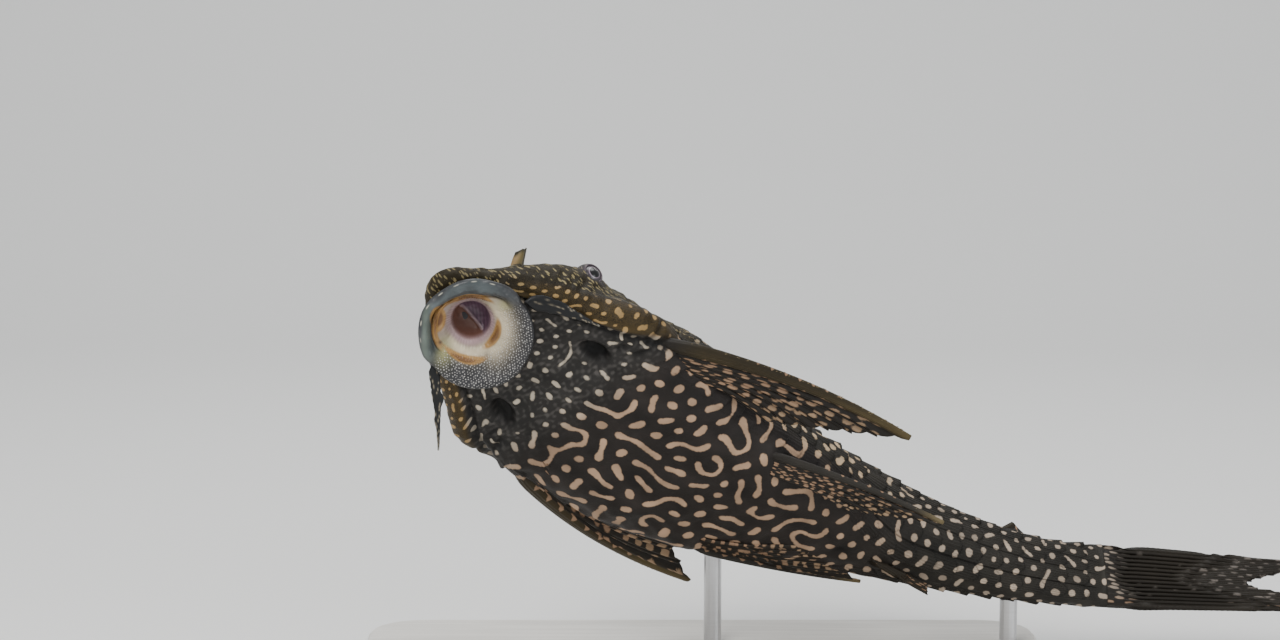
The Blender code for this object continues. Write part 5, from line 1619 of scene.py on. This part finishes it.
def paired_grid(form):
    """Columns, -1 to 0 over the spine and 0 to 1 over the rays, and rows, 0 at the root to 1."""
    web = np.linspace(0, 1, form["rays"] * RAY_COLUMNS + 1)[1:]
    c = np.concatenate((np.linspace(-1, 0, SPINE_COLUMNS), web))[None, :]
    t = np.concatenate(([-0.10, -0.05], np.linspace(0, 1, FIN_ROWS)))[:, None]
    return c, t


def paired_reach(form, c):
    """How long the fin is at each column."""
    web = np.clip(c, 0, 1)
    notch = 0.03 * (1 - ray_profile(web * form["rays"], 0.0)) * (c > 0)
    return form["length"] * (1 - (1 - form["last"]) * web**0.85) * (1 - notch)


def paired_thickness(form, c, forward, rib, seed):
    """Thickness of the stout spine and of the rays and membranes behind it."""
    spine = np.clip(-c, 0, 1)
    round_spine = np.sqrt(np.clip(1 - (2 * spine - 1) ** 2, 0.02, 1))
    spine_root = form["spine_thickness"] * round_spine
    spine_now = spine_root + (0.0014 * round_spine - spine_root) * forward**0.9
    spine_now = spine_now * (1 + 0.05 * np.cos(spine * 26) * ease(forward, 0.02, 0.1))
    ray_now = RAY_ROOT + (RAY_TIP - RAY_ROOT) * forward**0.9
    web_now = MEMBRANE * 1.3 + (MEMBRANE * 0.85 - MEMBRANE * 1.3) * forward**0.9
    joints = 0.9 + 0.1 * ray_joints(forward, form["length"], seed)
    web_now = web_now + (ray_now - web_now) * rib * joints
    return np.where(c <= 0, np.maximum(spine_now, web_now * 0.6), web_now)


def spine_wedges(along_fin, period, start, sharpness):
    """Rows of wedges along a spine, from minus sharpness between them to 0 at their middles."""
    return -np.abs((np.mod(along_fin / period + start, 1.0) - 0.5) * 2) * sharpness


def paired_marks(form, c, forward, seed):
    """Tan wedges along the spine and rows of spots between the rays."""
    spine = np.clip(-c, 0, 1)
    along_fin = forward * form["length"]
    slope, period = (1.7, 0.0074) if form is PECTORAL else (2.4, 0.0046)
    place = np.clip(c, 0, 1) * form["rays"] * 1.6
    run = along_fin * (0.4 + 0.6 * paired_reach(form, c) / form["length"])
    spots = ray_spots(place, run, period, seed)
    wedges = np.clip(1.05 + spine_wedges(along_fin, 0.0078, 0.3, 1.6) - spine * slope, 0, 1)
    small = np.clip(0.95 + spine_wedges(along_fin, 0.0056, 0.1, 1.8) - (1 - spine) * 5.0, 0, 1)
    wedges = np.maximum(wedges, small * ease(forward, 0.2, 0.4))
    wedges = wedges * ease(forward, 0.05, 0.12) * (1 - ease(forward, 0.66, 0.90))
    return np.where(c <= 0, wedges, spots)


def paired_ground(form, c, forward, rib):
    """Ground colour: an olive or dark spine, and dark skin between the rays."""
    full = np.ones_like(rib)
    spine = np.clip(-c, 0, 1)
    if form is PECTORAL:
        tint = mixed(SPINE_OLIVE, SPINE_TIP_OLIVE, ease(forward, 0.55, 0.97) * full)
        edge = 0.7 * ease(spine, 0.55, 0.95) * (1 - ease(forward, 0.7, 1.0))
        tint = mixed(tint, np.array(SPINE_OLIVE) * 0.5, edge * full)
    else:
        tint = mixed(SPINE_DARK, SPINE_TIP_TAN, ease(forward, 0.80, 1.0) * full)
    tint = mixed(FIN_GROUND, tint, ease(forward, 0.02, 0.16) * full)
    return np.where((c <= 0)[..., None], tint, mixed(FIN_GROUND, SPINE_OLIVE, 0.22 * rib))


def make_paired_fin(name, form, side, share, girth, spread, lie, fold, curl, material, seed):
    """A folded fin: a stout rough spine along its outer edge and forked rays behind."""
    root, run, across, face = fin_frame(side, share, girth, lie, fold)
    _, _, _, up = directions(share)
    c, t = paired_grid(form)
    web = np.clip(c, 0, 1)
    forward = np.clip(t, 0, 1)
    rib = ray_profile(web * form["rays"], forward) * (c > 0)
    length = form["length"]
    angle = np.radians(spread) * web
    taper = (1 - 0.62 * forward) * (0.78 + 0.22 * ease(t, 0.0, 0.12))
    heading = run * np.cos(angle)[..., None] + across * np.sin(angle)[..., None]
    middle = root + across * (form["base"] * web)[..., None]
    middle = middle + heading * (paired_reach(form, c) * t)[..., None]
    offset = np.clip(-c, 0, 1) * form["spine_width"] * taper
    middle = middle - across * (offset + form["bow"] * length * forward * (1 - t))[..., None]
    lift = form["pleat"] * (2 * rib - 1) * (c > 0) * np.minimum(1, forward * 5)
    middle = middle + face * lift[..., None] + up * (curl * length * forward**2)[..., None]
    outward = unit(skin_point(share, girth * side, 0.01) - root)
    sunk = ROOT_SINK * form["spine_thickness"] * (1 - ease(t, -0.10, 0.16))
    middle = middle - outward * sunk[..., None]
    pale = mixed(FIN_PALE, FIN_TIP_PALE, ease(forward, 0.55, 0.95))
    item = fin_sheet(
        name, middle, paired_thickness(form, c, forward, rib, seed), material,
        paired_marks(form, c, forward, seed), paired_ground(form, c, forward, rib), pale,
    )
    return item, middle[2:, 0], middle[2:, 4], face


def make_bristles(name, edges, material, seed):
    """Short curved bristles along the outer edges of the spines."""
    draw = np.random.default_rng(seed)
    s = np.linspace(0, 1, 4)[:, None]
    tubes = []
    for edge, inner, face, number, longest in edges:
        outward = unit(edge - inner)
        ahead = unit(np.gradient(edge, axis=0))
        for _ in range(number):
            t = draw.uniform(0.10, 0.99)
            k = t * (len(edge) - 1)
            low = min(int(k), len(edge) - 2)
            base = edge[low] + (edge[low + 1] - edge[low]) * (k - low)
            way = outward[low]
            on = ahead[low]
            start = base - way * draw.uniform(0.0002, 0.0016) + face * draw.uniform(-1, 1) * 0.0005
            length = longest * (0.35 + 0.65 * t) * draw.uniform(0.6, 1.0)
            lean = face * draw.uniform(-0.25, 0.25)
            route = start + (way + lean) * length * s * (1 - 0.35 * s)
            route = route + on * length * (0.35 * s + 0.55 * s**2)
            thick = 0.00017 * (1 - 0.85 * s[:, 0])
            flat_way = np.broadcast_to(on + 0.1 * face, route.shape)
            tubes.append(round_tube(route, thick, thick, 5, flat_way))
    return bundle_piece(name, tubes, material, np.broadcast_to(BRISTLE_HORN, (4, 3)))


def make_midline_fin(name, ray_count, roots, lengths, slopes, lean, above, period, material, seed):
    """A fin of the back or belly, folded back along the body."""
    columns = (ray_count - 1) * RAY_COLUMNS + 1
    f = np.linspace(0, 1, columns)[None, :]
    t = np.concatenate(([-0.12, -0.06], np.linspace(0, 1, FIN_ROWS)))[:, None]
    forward = np.clip(t, 0, 1)
    place = f * (ray_count - 1)
    rib = ray_profile(place, forward)
    start = roots[0] + (roots[1] - roots[0]) * f
    length = lengths[0] + (lengths[1] - lengths[0]) * f
    length = length * (1 - 0.03 * (1 - ray_profile(place, 0.0)))
    slope = np.radians(slopes[0] + (slopes[1] - slopes[0]) * f)
    share = start + length * np.cos(slope) * forward
    free = length * np.sin(slope) * forward * STANDARD_LENGTH
    rise = np.where(t < 0, -0.006 * t / -0.12, free)
    back = along(BACK_HEIGHT, share) * STANDARD_LENGTH
    belly = -along(BELLY_SAG, share) * STANDARD_LENGTH
    leaning = np.radians(lean) * ease(t, -0.05, 0.60)
    side = -rise * np.sin(leaning) + 0.00035 * (2 * rib - 1) * ease(t, 0.05, 0.3)
    height = back + rise * np.cos(leaning) if above else belly - rise * np.cos(leaning)
    run = length * STANDARD_LENGTH
    ray_now = RAY_ROOT + (RAY_TIP - RAY_ROOT) * forward
    ray_now = ray_now * (1 + 0.7 * bump(place, 0.0, 0.25))
    web_now = MEMBRANE * (1.3 - 0.4 * forward)
    thickness = web_now + (ray_now - web_now) * rib * (0.9 + 0.1 * ray_joints(forward, run, seed))
    spots = ray_spots(place + 0.5, forward * run, period, seed)
    ground = mixed(FIN_GROUND, SPINE_OLIVE, 0.40 * rib)
    return fin_sheet(name, locate(share, side, height), thickness, material, spots, ground, FIN_PALE)


def make_adipose(material):
    """A short spine near the tail with a small web behind it."""
    start, end, height = ADIPOSE
    t = np.linspace(0, 1, 40)[:, None]
    f = np.linspace(0, 1, 40)[None, :]
    share = start + (end - start) * f + (0.030 * (1 - f) + 0.004) * t
    rise = height * t * (1 - 0.80 * f) * STANDARD_LENGTH
    back = along(BACK_HEIGHT, share) * STANDARD_LENGTH
    middle = locate(share, 0.0 * share, back + rise - 0.003 * (1 - t))
    stout = np.interp(f, [0, 0.12, 0.3, 1.0], [0.0016, 0.0030, 0.0013, 0.0009])
    marks = 0.75 * bump(np.mod(t * 3 + f * 2, 1.0), 0.5, 0.16) * ease(f, 0.15, 0.3)
    ground = mixed(np.array(SPINE_OLIVE) * 0.6, FIN_GROUND, ease(f, 0.1, 0.35))
    thickness = stout * (1 - 0.55 * t)
    return fin_sheet("adipose_fin", middle, thickness, material, marks, ground, FIN_PALE)


def make_caudal(material):
    """The tail fin, half folded, with the lower lobe the longer."""
    columns = (CAUDAL_RAYS - 1) * RAY_COLUMNS + 1
    f = np.linspace(0, 1, columns)[None, :]
    t = np.linspace(0, 1, 150)[:, None]
    place = f * (CAUDAL_RAYS - 1)
    rib = ray_profile(place, t)
    top_tip, bottom_tip = CAUDAL_TIP_LEVELS
    length = along(CAUDAL_LENGTHS, f) * (1 - 0.025 * (1 - ray_profile(place, 0.0)))
    share = 0.992 + 0.0099 * ease(t, 0, 0.04) + length * t
    root_level = float(along(BACK_HEIGHT, 1.0)) * (0.985 - 0.97 * f)
    tip_level = top_tip + (bottom_tip - top_tip) * f
    level = root_level + (tip_level - root_level) * ease(t * length, 0.0, 0.26)
    pleat = 0.0008 * (2 * rib - 1) * ease(t, 0.06, 0.25)
    drift = 0.010 * np.sin(2.2 * t * length / 0.38) * STANDARD_LENGTH
    middle = locate(share, pleat + drift, level * STANDARD_LENGTH)
    edge = np.maximum(0.0, 1 - 6 * np.minimum(f, 1 - f))
    free = RAY_ROOT * (1.1 + 1.1 * edge)
    tip = RAY_TIP * (1 + 0.4 * edge)
    run = length * STANDARD_LENGTH
    web = MEMBRANE * (1.2 - 0.35 * t)
    blade = web + (free + (tip - free) * t - web) * rib * (0.9 + 0.1 * ray_joints(t, run, 3))
    root = CAUDAL_ROOT_THICKNESS * np.sqrt(np.maximum(0.05, 1 - (2 * f - 1) ** 2))
    thickness = blade + np.maximum(0.0, root - blade) * (1 - ease(t, 0.0, 0.16))
    spots = ray_spots(place + 0.5, t * run, 0.0064, 77)
    ground = mixed(np.array(FIN_GROUND) * 0.85, SPINE_OLIVE, 0.20 * rib)
    pale = mixed(np.array(TAIL_PALE) * 0.75, CAUDAL_PALE, ease(t, 0.03, 0.14))
    pale = mixed(pale, FIN_PALE, 0.8 * ease(f, 0.84, 0.95))
    return fin_sheet("caudal_fin", middle, thickness, material, spots, ground, pale)


# Stage


def make_stage():
    """Plain pale floor that curves up into the background."""
    profile = [(STAGE_FRONT, 0.0), (STAGE_BEND, 0.0)]
    for k in range(1, 25):
        turn = math.radians(90 * k / 24)
        rise = STAGE_BEND_RADIUS * (1 - math.cos(turn))
        profile.append((STAGE_BEND + STAGE_BEND_RADIUS * math.sin(turn), rise))
    profile.append((STAGE_BEND + STAGE_BEND_RADIUS, STAGE_TOP))
    xs = np.linspace(STAGE_FRONT, -STAGE_FRONT, 9)
    points = np.array([[(x, y, z) for x in xs] for y, z in profile])
    quads = grid_quads(len(profile), len(xs), False)
    material = stage_material("pale_stage", STAGE_PALE, 0.7)
    floor = new_piece("floor", points.reshape(-1, 3), [quads], material, closed=False)


def add_light(name, place, size, power, colour):
    data = bpy.data.lights.new(name, "AREA")
    data.shape = "RECTANGLE"
    data.size, data.size_y = size
    data.energy = power
    data.color = colour
    light = bpy.data.objects.new(name, data)
    light.location = place
    light.rotation_euler = (Vector(LIT_PLACE) - Vector(place)).to_track_quat("-Z", "Y").to_euler()
    bpy.context.scene.collection.objects.link(light)


def make_lights():
    for row in LIGHTS:
        add_light(*row)
    world = bpy.data.worlds.new("studio")
    world.use_nodes = True
    background = world.node_tree.nodes["Background"]
    background.inputs["Color"].default_value = (*STUDIO_AIR, 1)
    background.inputs["Strength"].default_value = 0.45
    bpy.context.scene.world = world


def make_camera():
    data = bpy.data.cameras.new("camera")
    data.lens = CAMERA_LENS
    data.sensor_width = CAMERA_SENSOR
    camera = bpy.data.objects.new("camera", data)
    target = Vector(CAMERA_TARGET)
    tilt = math.radians(CAMERA_ELEVATION)
    camera.location = target + Vector((0, -math.cos(tilt), math.sin(tilt))) * CAMERA_DISTANCE
    camera.rotation_euler = (target - camera.location).to_track_quat("-Z", "Y").to_euler()
    bpy.context.scene.collection.objects.link(camera)
    bpy.context.scene.camera = camera


# Putting it together


def settle(item, nodes=()):
    """The piece rides on the model and stands for its CAD nodes, which it hides."""
    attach(item, "root")
    if nodes:
        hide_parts(*nodes)


def add_face(soft):
    """Eyes, lids, nostril flaps and feelers."""
    eyes = eye_material()
    for side, word in ((1, "left"), (-1, "right")):
        settle(make_eye(side, eyes), ("eye_" + word,))
        settle(make_lids(side, soft), ())
        settle(make_flap(side, soft), ("nostril_flap_" + word,))
    steps, left, right = barbel_routes()
    left_feeler = make_barbel("left_feeler", steps, left, 0.0020, 0.0, soft, 61)
    right_feeler = make_barbel("right_feeler", steps, right, 0.0008, 1.4, soft, 62)
    settle(left_feeler, ("barbel_left",))
    settle(right_feeler, ("barbel_right",))


def add_fins(horn):
    """All the fins, and the bristles along the spines of the paired ones."""
    fins = fin_material()
    edges = []
    for number, row in enumerate(PAIRED_FINS):
        item, edge, inner, face = make_paired_fin(*row, fins, 70 + number)
        settle(item, (row[0],))
        count, longest = (420, 0.0013) if row[1] is PECTORAL else (90, 0.0006)
        edges.append((edge, inner, face, count, longest))
    settle(make_bristles("spine_bristles", edges, horn, 81), ())
    dorsal = (DORSAL_RAYS, DORSAL_ROOTS, DORSAL_LENGTHS, DORSAL_SLOPES, DORSAL_LEAN, True, 0.0066)
    settle(make_midline_fin("dorsal_fin", *dorsal, fins, 75), ("dorsal_fin",))
    anal = (ANAL_RAYS, ANAL_ROOTS, ANAL_LENGTHS, ANAL_SLOPES, ANAL_LEAN, False, 0.0048)
    settle(make_midline_fin("anal_fin", *anal, fins, 76), ("anal_fin",))
    settle(make_adipose(fins), ("adipose_fin",))
    settle(make_caudal(fins), ("caudal_fin",))


def finish_stand():
    """Lacquer on the base and brushed steel on the rods, which keep the forms of the CAD nodes."""
    nodes = frame["nodes"]
    lacquer = base_material()
    steel = rod_material()
    for name in ("stand_base", "stand_rod_front", "stand_rod_rear"):
        finish = lacquer if name == "stand_base" else steel
        for held_slot in nodes[name].material_slots:
            held_slot.material = finish


def main():
    soft = painted_material("moist_skin", 0.48, 0.05, 1500.0, 0.0002)
    lips = painted_material("moist_lips", 0.42, 0.16, 2600.0, 0.00016)
    horn = painted_material("amber_horn", 0.32, 0.15, 4000.0, 0.00005)
    settle(make_skin(skin_material()), ("head", "trunk", "tail"))
    settle(make_lips(lips), ("mouth_disc",))
    settle(make_teeth(horn), ())
    add_face(soft)
    add_fins(horn)
    finish_stand()
    make_stage()
    make_lights()
    make_camera()



main()
